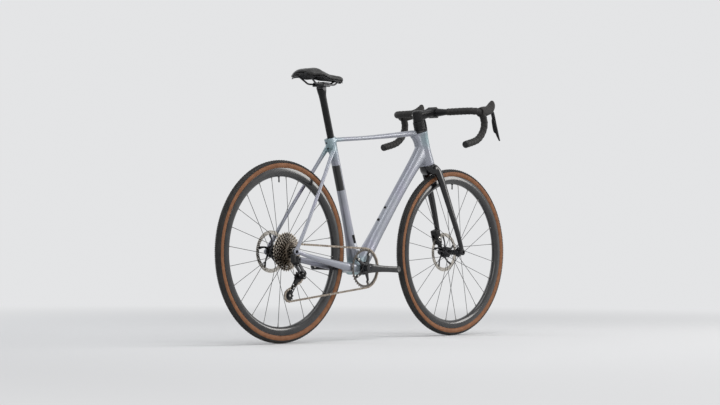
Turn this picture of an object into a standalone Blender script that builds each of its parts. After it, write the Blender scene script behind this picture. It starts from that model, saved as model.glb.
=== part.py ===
"""A cyclocross race bike with drop bars, a single chainring and disc brakes.

Metres, +Z up, X towards the front wheel and Y to the rider's left. The origin lies on the
ground, in the centre plane, midway between the two axles.
"""

import math

import bmesh
import bpy
from mathutils import Matrix, Vector

GAP = 0.0003  # between pieces that touch on the real bike

# Sides of the round pieces, the same for a bore and for what sits in it
STEERING_SIDES = 16
POST_SIDES = 16
BRACKET_SIDES = 16
HUB_SIDES = 12
PIN_SIDES = 8

# Layout of the frame and the wheels
WHEELBASE = 1.020
TYRE_RADIUS = 0.344
TYRE_WIDTH = 0.033
BB_DROP = 0.063
CHAINSTAY = 0.4287
SEAT_ANGLE = math.radians(73.0)
HEAD_ANGLE = math.radians(72.0)
FORK_RAKE = 0.045
AXLE_TO_CROWN = 0.392
HEAD_TUBE_LENGTH = 0.140
SEAT_TUBE_LENGTH = 0.526

# Frame details
HEAD_TUBE_RADIUS = 0.0285
HEAD_TUBE_BORE = 0.0215
LOWER_BEARING_RADIUS = 0.0260
UPPER_BEARING_RADIUS = 0.0245
BEARING_HEIGHT = 0.0075
BB_SHELL_RADIUS = 0.0270
BB_SHELL_WIDTH = 0.0790
BB_BORE = 0.0205
REAR_HUB_WIDTH = 0.142
HANGER_THICKNESS = 0.0030

# Fork and cockpit
STEERER_RADIUS = 0.0143
CROWN_RACE_RADIUS = 0.0198
FRONT_HUB_WIDTH = 0.100
SPACER_STACK = 0.0365
HEADSET_COVER_HEIGHT = 0.0075
STEM_LENGTH = 0.0985
STEM_DROP = 0.0103
STEM_HEIGHT = 0.040
STEM_CLAMP_WIDTH = 0.046
BAR_CLAMP_RADIUS = 0.0159
BAR_RADIUS = 0.0119
BAR_WIDTH = 0.416
BAR_REACH = 0.075
BAR_DROP = 0.128
TAPE_THICKNESS = 0.0029

# Seat
SEATPOST_RADIUS = 0.0136
SEATPOST_EXPOSED = 0.190
SEATPOST_INSERTED = 0.115
SEATPOST_DROP = 0.040
SADDLE_LENGTH = 0.245
SADDLE_WIDTH = 0.145
RAIL_RADIUS = 0.0035
RAIL_SPACING = 0.044

# Wheels
THRU_AXLE_RADIUS = 0.0060
RIM_DEPTH = 0.0325
RIM_WIDTH = 0.0284
RIM_OUTER_RADIUS = 0.3138
KNOB_HEIGHT = 0.0026
SPOKES = 24
SPOKE_RADIUS = 0.0011
FRONT_VALVE_ANGLE = math.radians(89.6)
REAR_VALVE_ANGLE = math.radians(93.6)
WHEEL_STEPS = 36
ROTOR_THICKNESS = 0.0018
FRONT_ROTOR_RADIUS = 0.080
REAR_ROTOR_RADIUS = 0.080
FRONT_ROTOR_Y = 0.0400
REAR_ROTOR_Y = 0.0550

# Drivetrain
CHAIN_PITCH = 0.0127
CHAIN_HEIGHT = 0.0075
CHAIN_INNER_GAP = 0.0023
CHAIN_PLATE = 0.00065
CHAINRING_TEETH = 38
CHAINLINE = 0.045
CASSETTE_TEETH = (10, 11, 12, 13, 15, 17, 19, 21, 24, 28, 32, 36)
SPROCKET_PITCH = 0.00355
SPROCKET_THICKNESS = 0.0016
SMALLEST_SPROCKET_Y = -0.0655
SPROCKET_IN_USE = 4
PULLEY_TEETH = 11
CRANK_LENGTH = 0.1725
CRANK_ANGLE = math.radians(-2.0)
Q_HALF = 0.0735
CRANK_ARM_THICKNESS = 0.0135
SPINDLE_RADIUS = 0.0145
PEDAL_HOLE_RADIUS = 0.0070

# Points that follow from the layout
WHEEL_CENTRE_Z = TYRE_RADIUS
REAR_AXLE = Vector((-WHEELBASE / 2, 0, WHEEL_CENTRE_Z))
FRONT_AXLE = Vector((WHEELBASE / 2, 0, WHEEL_CENTRE_Z))
BB_CENTRE = Vector((
    REAR_AXLE.x + math.sqrt(CHAINSTAY**2 - BB_DROP**2),
    0,
    WHEEL_CENTRE_Z - BB_DROP,
))
SEAT_UP = Vector((-math.cos(SEAT_ANGLE), 0, math.sin(SEAT_ANGLE)))
SEAT_FORWARD = Vector((math.sin(SEAT_ANGLE), 0, math.cos(SEAT_ANGLE)))
STEER_UP = Vector((-math.cos(HEAD_ANGLE), 0, math.sin(HEAD_ANGLE)))
STEER_FORWARD = Vector((math.sin(HEAD_ANGLE), 0, math.cos(HEAD_ANGLE)))
STEER_FOOT = FRONT_AXLE - FORK_RAKE * STEER_FORWARD
CROWN_TOP = math.sqrt(AXLE_TO_CROWN**2 - FORK_RAKE**2)
HEAD_TOP = CROWN_TOP + HEAD_TUBE_LENGTH
STEM_BASE = HEAD_TOP + HEADSET_COVER_HEIGHT + SPACER_STACK
STEM_CENTRE = STEM_BASE + STEM_HEIGHT / 2
LEFT = Vector((0, 1, 0))


def clear_of(radius, sides):
    """The radius of a bore with this many sides, in which a shaft with as many can turn."""
    return radius / math.cos(math.pi / sides) + GAP


def on_seat_axis(along, forward=0.0, side=0.0):
    """The point this far up the seat tube from the bottom bracket."""
    return BB_CENTRE + along * SEAT_UP + forward * SEAT_FORWARD + side * LEFT


def on_steering_axis(along, forward=0.0, side=0.0):
    """The point this far up the steering axis from its foot beside the front axle."""
    return STEER_FOOT + along * STEER_UP + forward * STEER_FORWARD + side * LEFT


HANDLEBAR_CENTRE = on_steering_axis(STEM_CENTRE - STEM_DROP, STEM_LENGTH)

# Each look is a colour, a roughness and a metallic value
PEARL = ((0.50, 0.50, 0.62), 0.28, 0.35)
GLOSS_BLACK = ((0.012, 0.012, 0.014), 0.12, 0.0)
SATIN_BLACK = ((0.02, 0.02, 0.022), 0.35, 0.1)
CARBON = ((0.035, 0.034, 0.035), 0.32, 0.0)
TREAD = ((0.018, 0.017, 0.016), 0.85, 0.0)
GRIP = ((0.022, 0.021, 0.021), 0.75, 0.0)
STEEL = ((0.62, 0.60, 0.57), 0.25, 1.0)
CHAIN_STEEL = ((0.50, 0.44, 0.38), 0.30, 1.0)
DARK_ALLOY = ((0.05, 0.05, 0.055), 0.30, 0.8)
PAD_COMPOUND = ((0.16, 0.10, 0.06), 0.8, 0.1)

for old in list(bpy.data.objects):
    bpy.data.objects.remove(old, do_unlink=True)
parts = bpy.data.collections.new("cyclocross_bike")
helpers = bpy.data.collections.new("cutters_and_shapes_to_join")
bpy.context.scene.collection.children.link(parts)
bpy.context.scene.collection.children.link(helpers)


def material(name, look):
    """A Principled material with this look."""
    colour, roughness, metallic = look
    made = bpy.data.materials.new(name)
    made.use_nodes = True
    shader = made.node_tree.nodes["Principled BSDF"]
    shader.inputs["Base Color"].default_value = (*colour, 1)
    shader.inputs["Roughness"].default_value = roughness
    shader.inputs["Metallic"].default_value = metallic
    made.diffuse_color = (*colour, 1)
    return made


def placed(name, data, look):
    """An object that is a part when it has a look, and otherwise a helper that isn't rendered."""
    obj = bpy.data.objects.new(name, data)
    if look is None:
        helpers.objects.link(obj)
        obj.hide_render = True
        obj.display_type = "WIRE"
    else:
        parts.objects.link(obj)
        data.materials.append(material(name, look))
    return obj


def from_bmesh(name, bm, look=None, origin=None):
    """Turns a bmesh in world coordinates into an object whose origin is the given point."""
    origin = origin or Vector((0, 0, 0))
    bmesh.ops.recalc_face_normals(bm, faces=bm.faces)
    bmesh.ops.translate(bm, vec=-origin, verts=bm.verts)
    mesh = bpy.data.meshes.new(name)
    bm.to_mesh(mesh)
    bm.free()
    mesh.shade_smooth()
    mesh.set_sharp_from_angle(angle=math.radians(35))
    obj = placed(name, mesh, look)
    obj.location = origin
    return obj


def as_mesh(curve):
    """Replaces a curve by the same shape as a closed mesh, which a Boolean can take."""
    graph = bpy.context.evaluated_depsgraph_get()
    mesh = bpy.data.meshes.new_from_object(curve.evaluated_get(graph))
    bm = bmesh.new()
    bm.from_mesh(mesh)
    bmesh.ops.remove_doubles(bm, verts=bm.verts, dist=1e-6)
    bmesh.ops.recalc_face_normals(bm, faces=bm.faces)
    bm.to_mesh(mesh)
    bm.free()
    mesh.shade_smooth()
    mesh.set_sharp_from_angle(angle=math.radians(35))
    name = curve.name
    obj = bpy.data.objects.new(name + "_mesh", mesh)
    for collection in curve.users_collection:
        collection.objects.link(obj)
    obj.matrix_world = curve.matrix_world
    obj.hide_render = curve.hide_render
    obj.display_type = curve.display_type
    bpy.data.objects.remove(curve, do_unlink=True)
    obj.name = name
    return obj


def combine(obj, operation, others):
    for other in others:
        modifier = obj.modifiers.new(f"{operation.lower()} {other.name}", "BOOLEAN")
        modifier.operation = operation
        modifier.solver = "EXACT"
        modifier.object = other
    return obj


def join(obj, *others):
    return combine(obj, "UNION", others)


def cut(obj, *others):
    return combine(obj, "DIFFERENCE", others)


def facing(axis, start):
    """The rotation that takes +Z to the axis and +X to the start direction."""
    z = axis.normalized()
    x = (start - start.dot(z) * z).normalized()
    return Matrix((x, z.cross(x), z)).transposed()


def turned(name, profile, centre, look=None, axis=LEFT, start=None, steps=24, ring=True):
    """A profile of (radius, height) points turned round an axis with the Screw modifier.

    A ring's profile is a loop. Any other profile starts and ends on the axis.
    """
    bm = bmesh.new()
    verts = [bm.verts.new((radius, 0, height)) for radius, height in profile]
    for a, b in zip(verts, verts[1:] + verts[:1] if ring else verts[1:]):
        bm.edges.new((a, b))
    mesh = bpy.data.meshes.new(name)
    bm.to_mesh(mesh)
    bm.free()
    obj = placed(name, mesh, look)
    start = start or (Vector((0, 0, 1)) if abs(axis.z) < 0.9 else Vector((1, 0, 0)))
    obj.matrix_world = Matrix.Translation(centre) @ facing(axis, start).to_4x4()
    screw = obj.modifiers.new("turn", "SCREW")
    screw.steps = steps
    screw.render_steps = steps
    screw.use_merge_vertices = True
    screw.merge_threshold = 0.00001
    screw.use_smooth_shade = True
    return obj


def tube_profile(outer, inner, low, high):
    """The loop of a plain sleeve, for turned()."""
    return [(outer, high), (outer, low), (inner, low), (inner, high)]


def rod(name, start, end, radius, look=None, sides=12, end_radius=None, origin=None):
    """A round bar, or a cone, between two points."""
    bm = bmesh.new()
    add_rod(bm, start, end, radius, sides, end_radius)
    return from_bmesh(name, bm, look, origin)


def add_rod(bm, start, end, radius, sides=12, end_radius=None):
    axis = end - start
    turn = facing(axis, LEFT if abs(axis.normalized().y) < 0.9 else Vector((0, 0, 1))).to_4x4()
    bmesh.ops.create_cone(
        bm,
        cap_ends=True,
        segments=sides,
        radius1=radius,
        radius2=radius if end_radius is None else end_radius,
        depth=axis.length,
        matrix=Matrix.Translation((start + end) / 2) @ turn,
    )


def block(name, centre, size, look=None, rotation=None, bevel=0.0, origin=None):
    """A box of this size, with its edges rounded by a Bevel where a width is given."""
    bm = bmesh.new()
    turn = (rotation or Matrix.Identity(3)).to_4x4()
    scale = Matrix.Diagonal((*size, 1))
    bmesh.ops.create_cube(bm, size=1, matrix=Matrix.Translation(centre) @ turn @ scale)
    obj = from_bmesh(name, bm, look, origin)
    if bevel:
        rounding = obj.modifiers.new("round", "BEVEL")
        rounding.width = bevel
        rounding.segments = 1
    return obj


def rounded_section(centre, tangent, half_width, half_height, sides, power):
    """A ring of points round a tube: a circle at power 2, squarer above it."""
    tangent = tangent.normalized()
    across = (LEFT - LEFT.dot(tangent) * tangent).normalized()
    up = tangent.cross(across)
    ring = []
    for k in range(sides):
        angle = math.tau * (k + 0.5) / sides
        c, s = math.cos(angle), math.sin(angle)
        x = math.copysign(abs(c) ** (2 / power), c) * half_width
        z = math.copysign(abs(s) ** (2 / power), s) * half_height
        ring.append(centre + x * across + z * up)
    return ring


def loft(name, stations, look=None, sides=12, power=2.4, origin=None):
    """A tube through stations of (centre, half width, half height), with capped ends."""
    bm = bmesh.new()
    centres = [station[0] for station in stations]
    rings = []
    for k, (centre, half_width, half_height) in enumerate(stations):
        before = centres[max(k - 1, 0)]
        after = centres[min(k + 1, len(centres) - 1)]
        ring = rounded_section(centre, after - before, half_width, half_height, sides, power)
        rings.append([bm.verts.new(point) for point in ring])
    for near, far in zip(rings, rings[1:]):
        for k in range(sides):
            bm.faces.new((near[k], near[(k + 1) % sides], far[(k + 1) % sides], far[k]))
    bm.faces.new(rings[0])
    bm.faces.new(rings[-1])
    return from_bmesh(name, bm, look, origin)


def flat_shape(name, outlines, centre, thickness, look=None, axis_up=None, normal=None):
    """A plate cut to closed outlines of (x, z) points, the first the outer edge, facing along Y."""
    curve = bpy.data.curves.new(name, "CURVE")
    curve.dimensions = "2D"
    curve.fill_mode = "BOTH"
    curve.extrude = thickness / 2
    for outline in outlines:
        spline = curve.splines.new("POLY")
        spline.points.add(len(outline) - 1)
        for point, (x, z) in zip(spline.points, outline):
            point.co = (x, z, 0, 1)
        spline.use_cyclic_u = True
    obj = placed(name, curve, look)
    up = axis_up or Vector((0, 0, 1))
    normal = normal or -LEFT
    obj.matrix_world = Matrix.Translation(centre) @ facing(normal, up.cross(normal)).to_4x4()
    bpy.context.view_layer.update()
    return as_mesh(obj)


def bent_tube(name, route, radius, look=None, resolution=2, scales=None, origin=None):
    """A round bar bent along a route, as a curve object."""
    origin = origin or Vector((0, 0, 0))
    curve = bpy.data.curves.new(name, "CURVE")
    curve.dimensions = "3D"
    curve.bevel_depth = radius
    curve.bevel_resolution = resolution
    curve.use_fill_caps = True
    spline = curve.splines.new("POLY")
    spline.points.add(len(route) - 1)
    for k, place in enumerate(route):
        spline.points[k].co = (*(place - origin), 1)
        spline.points[k].radius = scales[k] if scales else 1.0
    obj = placed(name, curve, look)
    obj.location = origin
    bpy.context.view_layer.update()
    return obj


def arc(centre, radius, first, last, count):
    """Points (x, z) along an arc, with angles in degrees."""
    steps = [first + (last - first) * k / (count - 1) for k in range(count)]
    return [
        (centre[0] + radius * math.cos(math.radians(a)), centre[1] + radius * math.sin(math.radians(a)))
        for a in steps
    ]


# The frame

HEAD_WEB_HALF_WIDTH = 0.0170
DROPOUT_RADIUS = 0.0140
DROPOUT_OUTER = 0.0798
HANGER_FACE = REAR_HUB_WIDTH / 2
RIGHT_DROPOUT_INNER = HANGER_FACE + HANGER_THICKNESS + GAP


def chord_points(start, end, stations):
    """Loft stations from (share of the chord, offset from it, half width, half height)."""
    chord = end - start
    normal = chord.normalized().cross(LEFT)
    if normal.z < 0:
        normal = -normal
    return [
        (start + share * chord + offset * normal, half_width, half_height)
        for share, offset, half_width, half_height in stations
    ]


def down_tube():
    top = on_steering_axis(CROWN_TOP + 0.54 * HEAD_TUBE_LENGTH)
    stations = (
        (0.016, -0.004, 0.0360, 0.0220),
        (0.070, -0.006, 0.0330, 0.0245),
        (0.190, -0.006, 0.0245, 0.0255),
        (0.310, -0.004, 0.0210, 0.0250),
        (0.620, 0.000, 0.0195, 0.0240),
        (0.845, -0.001, 0.0200, 0.0270),
        (0.938, -0.003, 0.0200, 0.0335),
        (0.990, -0.003, 0.0195, 0.0420),
    )
    return loft("down_tube", chord_points(BB_CENTRE, top, stations), sides=10, power=2.7)


def top_tube():
    rear = on_seat_axis(SEAT_TUBE_LENGTH - 0.0095)
    front = on_steering_axis(HEAD_TOP - 0.0035)
    stations = (
        (0.000, 0.0000, 0.0160, 0.0088),
        (0.120, -0.0005, 0.0165, 0.0088),
        (0.350, -0.0025, 0.0170, 0.0085),
        (0.600, -0.0020, 0.0180, 0.0100),
        (0.800, -0.0010, 0.0190, 0.0112),
        (0.930, 0.0000, 0.0205, 0.0120),
        (0.995, 0.0000, 0.0215, 0.0125),
    )
    return loft("top_tube", chord_points(rear, front, stations), sides=8, power=2.7)


def head_web():
    """The panel that fills the corner between the top tube, the down tube and the head tube."""
    stations = (
        (0.030, -0.016, 0.018),
        (0.068, -0.022, 0.020),
        (0.100, -0.023, 0.020),
        (0.125, -0.026, 0.024),
        (0.140, -0.030, 0.030),
    )
    return loft("head_web", [
        (on_steering_axis(CROWN_TOP + up, forward), HEAD_WEB_HALF_WIDTH, half_length)
        for up, forward, half_length in stations
    ], sides=8, power=3.2)


def head_tube():
    stations = (
        (0.000, 0.0310),
        (0.012, 0.0308),
        (0.050, 0.0275),
        (0.100, 0.0268),
        (0.140, HEAD_TUBE_RADIUS),
    )
    share = HEAD_TUBE_LENGTH / 0.140
    return loft("head_tube", [
        (on_steering_axis(CROWN_TOP + up * share), radius, radius) for up, radius in stations
    ], sides=14, power=2.0)


def seat_tube():
    stations = (
        (0.010, -0.0040, 0.0310, 0.0230),
        (0.050, -0.0040, 0.0270, 0.0225),
        (0.110, -0.0030, 0.0175, 0.0205),
        (0.200, -0.0010, 0.0158, 0.0175),
        (0.420, 0.0000, 0.0158, 0.0168),
        (0.470, -0.0010, 0.0162, 0.0180),
        (0.500, -0.0045, 0.0168, 0.0235),
        (0.526, -0.0055, 0.0168, 0.0258),
    )
    share = SEAT_TUBE_LENGTH / 0.526
    return loft("seat_tube", [
        (on_seat_axis(up * share, forward), half_width, half_length)
        for up, forward, half_width, half_length in stations
    ], sides=12, power=2.6)


def seat_stay():
    """The left seat stay, from inside the seat tube to the dropout."""
    top = on_seat_axis(SEAT_TUBE_LENGTH - 0.036, -0.010, 0.0190)
    foot = REAR_AXLE + Vector((0.004, 0.0771, 0.010))
    stations = [(on_seat_axis(SEAT_TUBE_LENGTH - 0.018, -0.002, 0.0095), 0.0075, 0.0085)]
    for share, bow, half_width, half_height in (
        (0.000, 0.0000, 0.0080, 0.0100),
        (0.100, 0.0000, 0.0072, 0.0085),
        (0.300, 0.0020, 0.0066, 0.0074),
        (0.550, 0.0042, 0.0064, 0.0072),
        (0.800, 0.0030, 0.0060, 0.0078),
        (0.920, 0.0010, 0.0046, 0.0092),
        (1.000, 0.0000, 0.0024, 0.0095),
    ):
        stations.append((top.lerp(foot, share) + bow * LEFT, half_width, half_height))
    return loft("seat_stay", stations, sides=8, power=2.3)


def chain_stay():
    """The left chain stay, which passes inside the chainring's plane."""
    stations = []
    for share, drop, out, half_width, half_height in (
        (0.020, 0.0000, 0.0270, 0.0120, 0.0200),
        (0.110, 0.0050, 0.0305, 0.0105, 0.0180),
        (0.221, 0.0080, 0.0325, 0.0092, 0.0163),
        (0.386, 0.0080, 0.0415, 0.0090, 0.0143),
        (0.650, 0.0070, 0.0600, 0.0080, 0.0113),
        (0.860, 0.0045, 0.0735, 0.0062, 0.0088),
        (0.930, 0.0020, 0.0762, 0.0044, 0.0082),
        (1.000, 0.0000, 0.0771, 0.0024, 0.0080),
    ):
        place = BB_CENTRE.lerp(REAR_AXLE, share)
        stations.append((place + Vector((0, out, -drop)), half_width, half_height))
    return loft("chain_stay", stations, sides=8, power=2.5)


def stay_yoke():
    """The solid block that joins the chain stays just behind the bottom bracket."""
    start = BB_CENTRE + Vector((-0.012, 0, 0.000))
    end = Vector((REAR_AXLE.x + TYRE_RADIUS + 0.012, 0, BB_CENTRE.z + 0.002))
    return loft("stay_yoke", [
        (start, 0.0330, 0.0180),
        (start.lerp(end, 0.5), 0.0320, 0.0165),
        (end, 0.0290, 0.0140),
    ], sides=8, power=4.0)


def dropout():
    return rod("dropout", REAR_AXLE + (HANGER_FACE + GAP) * LEFT,
               REAR_AXLE + DROPOUT_OUTER * LEFT, DROPOUT_RADIUS, sides=16)


def mirror_across_centre(obj):
    """Keeps the left half and mirrors it to the right."""
    mirror = obj.modifiers.new("mirror", "MIRROR")
    mirror.use_axis = (False, True, False)
    mirror.use_bisect_axis = (False, True, False)
    mirror.merge_threshold = 0.00001
    mirror.bisect_threshold = 0.00001


WEDGE_SIZE = (0.0085, 0.0120, 0.0260)
WEDGE_FORWARD = -(SEATPOST_RADIUS + 0.0020 + WEDGE_SIZE[0] / 2)


def seat_rotation():
    """The rotation that stands a box up along the seat tube."""
    return facing(SEAT_UP, SEAT_FORWARD)


def frame_bores():
    """The cutters of everything that the frame's tubes hold."""
    steering = turned("steerer_bore", [
        (0, HEAD_TUBE_LENGTH + 0.01),
        (UPPER_BEARING_RADIUS + GAP, HEAD_TUBE_LENGTH + 0.01),
        (UPPER_BEARING_RADIUS + GAP, HEAD_TUBE_LENGTH - BEARING_HEIGHT - GAP),
        (HEAD_TUBE_BORE, HEAD_TUBE_LENGTH - BEARING_HEIGHT - GAP),
        (HEAD_TUBE_BORE, BEARING_HEIGHT + GAP),
        (LOWER_BEARING_RADIUS + GAP, BEARING_HEIGHT + GAP),
        (LOWER_BEARING_RADIUS + GAP, -0.01),
        (0, -0.01),
    ], on_steering_axis(CROWN_TOP), axis=STEER_UP, steps=STEERING_SIDES, ring=False)
    depth = SEATPOST_INSERTED + SEATPOST_DROP + 0.005
    post = rod("seatpost_bore", on_seat_axis(SEAT_TUBE_LENGTH - depth),
               on_seat_axis(SEAT_TUBE_LENGTH + 0.02), SEATPOST_RADIUS + GAP, sides=POST_SIDES)
    bracket = rod("bottom_bracket_bore", BB_CENTRE - 0.06 * LEFT, BB_CENTRE + 0.06 * LEFT,
                  BB_BORE + GAP, sides=BRACKET_SIDES)
    axle = rod("rear_axle_bore", REAR_AXLE - 0.1 * LEFT, REAR_AXLE + 0.1 * LEFT,
               THRU_AXLE_RADIUS + GAP, sides=HUB_SIDES)
    recess = rod("hanger_recess", REAR_AXLE - (HANGER_FACE - 0.01) * LEFT,
                 REAR_AXLE - RIGHT_DROPOUT_INNER * LEFT, DROPOUT_RADIUS + 0.004, sides=16)
    wedge = block("wedge_pocket", on_seat_axis(SEAT_TUBE_LENGTH - 0.013, WEDGE_FORWARD),
                  (WEDGE_SIZE[0] + 2 * GAP, WEDGE_SIZE[1] + 2 * GAP, WEDGE_SIZE[2] + 0.012),
                  rotation=seat_rotation())
    above_head = block("above_head_tube", on_steering_axis(HEAD_TOP + 0.020), (0.100, 0.080, 0.040),
                       rotation=facing(STEER_UP, STEER_FORWARD))
    below_head = block("below_head_tube", on_steering_axis(CROWN_TOP - 0.020), (0.100, 0.080, 0.040),
                       rotation=facing(STEER_UP, STEER_FORWARD))
    return steering, post, bracket, axle, recess, wedge, above_head, below_head


STAY_DIRECTION = (BB_CENTRE - REAR_AXLE).normalized()
STAY_NORMAL = Vector((-STAY_DIRECTION.z, 0, STAY_DIRECTION.x))
CALIPER_MOUNT_TOP = 0.0065


def rear_caliper_mount():
    """The flat ledge on the left chain stay that the brake caliper is bolted to."""
    centre = REAR_AXLE + 0.064 * STAY_DIRECTION + (CALIPER_MOUNT_TOP - 0.005) * STAY_NORMAL
    return block("caliper_mount", centre + 0.0665 * LEFT, (0.050, 0.0190, 0.010),
                 rotation=facing(STAY_NORMAL, STAY_DIRECTION))


def make_frame():
    frame = down_tube()
    helpers.objects.unlink(frame)
    parts.objects.link(frame)
    frame.name = "frame"
    frame.hide_render = False
    frame.display_type = "TEXTURED"
    frame.data.materials.append(material("frame", PEARL))
    shell = rod("bottom_bracket_shell", BB_CENTRE - BB_SHELL_WIDTH / 2 * LEFT,
                BB_CENTRE + BB_SHELL_WIDTH / 2 * LEFT, BB_SHELL_RADIUS, sides=BRACKET_SIDES)
    join(frame, shell, seat_tube(), head_tube(), top_tube(), head_web(), stay_yoke())
    join(frame, chain_stay(), seat_stay(), dropout())
    mirror_across_centre(frame)
    join(frame, rear_caliper_mount())
    cut(frame, *frame_bores())
    return frame


CUP_FLANGE = 0.0032
CUP_FLANGE_RADIUS = 0.0240
CUP_DEPTH = 0.012
AXLE_HEAD_THICKNESS = 0.0045
AXLE_HEAD_RADIUS = 0.0095


def make_frame_fittings():
    """Headset bearings, bottom bracket cups, rear axle and the seat clamp's wedge."""
    turned("lower_headset_bearing", tube_profile(
        LOWER_BEARING_RADIUS, clear_of(CROWN_RACE_RADIUS, STEERING_SIDES), 0, BEARING_HEIGHT,
    ), on_steering_axis(CROWN_TOP), STEEL, axis=STEER_UP, steps=STEERING_SIDES)
    turned("upper_headset_bearing", tube_profile(
        UPPER_BEARING_RADIUS, clear_of(STEERER_RADIUS, STEERING_SIDES), -BEARING_HEIGHT, 0,
    ), on_steering_axis(HEAD_TOP), STEEL, axis=STEER_UP, steps=STEERING_SIDES)
    for side, letter in ((1, "left"), (-1, "right")):
        turned(f"bottom_bracket_cup_{letter}", [
            (CUP_FLANGE_RADIUS, CUP_FLANGE),
            (CUP_FLANGE_RADIUS, GAP),
            (BB_BORE, GAP),
            (BB_BORE, -CUP_DEPTH),
            (clear_of(SPINDLE_RADIUS, BRACKET_SIDES), -CUP_DEPTH),
            (clear_of(SPINDLE_RADIUS, BRACKET_SIDES), CUP_FLANGE),
        ], BB_CENTRE + side * BB_SHELL_WIDTH / 2 * LEFT, SATIN_BLACK, axis=side * LEFT,
            steps=BRACKET_SIDES)
    turned("rear_thru_axle", [
        (0, DROPOUT_OUTER + AXLE_HEAD_THICKNESS),
        (AXLE_HEAD_RADIUS, DROPOUT_OUTER + AXLE_HEAD_THICKNESS),
        (AXLE_HEAD_RADIUS, DROPOUT_OUTER + GAP),
        (THRU_AXLE_RADIUS, DROPOUT_OUTER + GAP),
        (THRU_AXLE_RADIUS, -DROPOUT_OUTER + 0.001),
        (0, -DROPOUT_OUTER + 0.001),
    ], REAR_AXLE, SATIN_BLACK, steps=HUB_SIDES, ring=False)
    block("seat_clamp_wedge", on_seat_axis(SEAT_TUBE_LENGTH - 0.0145, WEDGE_FORWARD), WEDGE_SIZE,
          DARK_ALLOY, rotation=seat_rotation(), bevel=0.001)


# The fork and the cockpit

FORK_DROPOUT_INNER = FRONT_HUB_WIDTH / 2 + GAP
FORK_DROPOUT_OUTER = 0.0630
FORK_DROPOUT_RADIUS = 0.0125
CROWN_HEIGHT = 0.031


def fork_blade():
    """The left blade, from inside the crown down to the dropout."""
    stations = []
    for up, forward, out, half_width, half_height in (
        (0.957, 0.012, 0.0210, 0.0150, 0.0190),
        (0.905, 0.020, 0.0310, 0.0125, 0.0195),
        (0.850, 0.025, 0.0350, 0.0108, 0.0182),
        (0.700, 0.0315, 0.0385, 0.0096, 0.0170),
        (0.530, 0.0375, 0.0425, 0.0090, 0.0155),
        (0.250, 0.0445, 0.0510, 0.0078, 0.0125),
        (0.080, 0.0455, 0.0555, 0.0066, 0.0112),
        (0.000, 0.0450, 0.0566, 0.0056, 0.0105),
    ):
        place = on_steering_axis(up * CROWN_TOP, forward * FORK_RAKE / 0.045, out)
        stations.append((place, half_width, half_height))
    return loft("fork_blade", stations, sides=8, power=2.3)


def fork_crown():
    stations = (
        (-0.0003, 0.000, 0.0290, 0.0290),
        (-0.0080, 0.000, 0.0320, 0.0290),
        (-0.0180, 0.004, 0.0375, 0.0270),
        (-0.0310, 0.010, 0.0400, 0.0230),
    )
    share = CROWN_HEIGHT / 0.031
    return loft("fork_crown", [
        (on_steering_axis(CROWN_TOP + up * share, forward), half_width, half_length)
        for up, forward, half_width, half_length in stations
    ], sides=16, power=2.5)


def make_fork():
    """Crown, blades and steerer as one moulding, on the steering axis."""
    top = STEM_BASE + STEM_HEIGHT - 0.003
    start = on_steering_axis(CROWN_TOP - CROWN_HEIGHT / 2)
    fork = rod("fork", start, on_steering_axis(top), STEERER_RADIUS, GLOSS_BLACK,
               sides=STEERING_SIDES, origin=on_steering_axis(CROWN_TOP))
    race = rod("crown_race_seat", start, on_steering_axis(CROWN_TOP + BEARING_HEIGHT + 0.002),
               CROWN_RACE_RADIUS, sides=STEERING_SIDES)
    dropout = rod("fork_dropout", FRONT_AXLE + FORK_DROPOUT_INNER * LEFT,
                  FRONT_AXLE + FORK_DROPOUT_OUTER * LEFT, FORK_DROPOUT_RADIUS, sides=16)
    join(fork, race, fork_crown(), fork_blade(), dropout)
    mirror_across_centre(fork)
    axle = rod("front_axle_bore", FRONT_AXLE - 0.08 * LEFT, FRONT_AXLE + 0.08 * LEFT,
               THRU_AXLE_RADIUS + GAP, sides=HUB_SIDES)
    recess = block("fork_tip_clearance", FRONT_AXLE + Vector((0, 0, 0.015)),
                   (0.045, 2 * FORK_DROPOUT_INNER, 0.055))
    cut(fork, axle, recess)


STEM_CLAMP_RADIUS = BAR_CLAMP_RADIUS + 0.0045


def make_headset_stack():
    """The cover, the spacers, the stem with its faceplate, and the top cap."""
    start = HEAD_TOP + GAP
    cover_top = HEAD_TOP + HEADSET_COVER_HEIGHT
    bore = rod("headset_bore", on_steering_axis(HEAD_TOP - 0.01),
               on_steering_axis(STEM_BASE + STEM_HEIGHT + 0.002), STEERER_RADIUS + GAP,
               sides=STEERING_SIDES)
    cover = loft("headset_cover", [
        (on_steering_axis(start, -0.0010), 0.0270, 0.0285),
        (on_steering_axis(cover_top, -0.0010), 0.0215, 0.0260),
    ], SATIN_BLACK, sides=12, power=2.2, origin=on_steering_axis(start))
    cut(cover, bore)
    spacers = loft("headset_spacers", [
        (on_steering_axis(cover_top + GAP, -0.0010), 0.0205, 0.0250),
        (on_steering_axis(STEM_BASE - GAP, -0.0010), 0.0200, 0.0240),
    ], SATIN_BLACK, sides=12, power=2.2, origin=on_steering_axis(cover_top))
    cut(spacers, bore)
    make_stem(bore)
    turned("steerer_top_cap", [
        (0, 0.0045),
        (0.0100, 0.0045),
        (0.0165, 0.0020),
        (0.0165, GAP),
        (0, GAP),
    ], on_steering_axis(STEM_BASE + STEM_HEIGHT), SATIN_BLACK, axis=STEER_UP, steps=12, ring=False)


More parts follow.
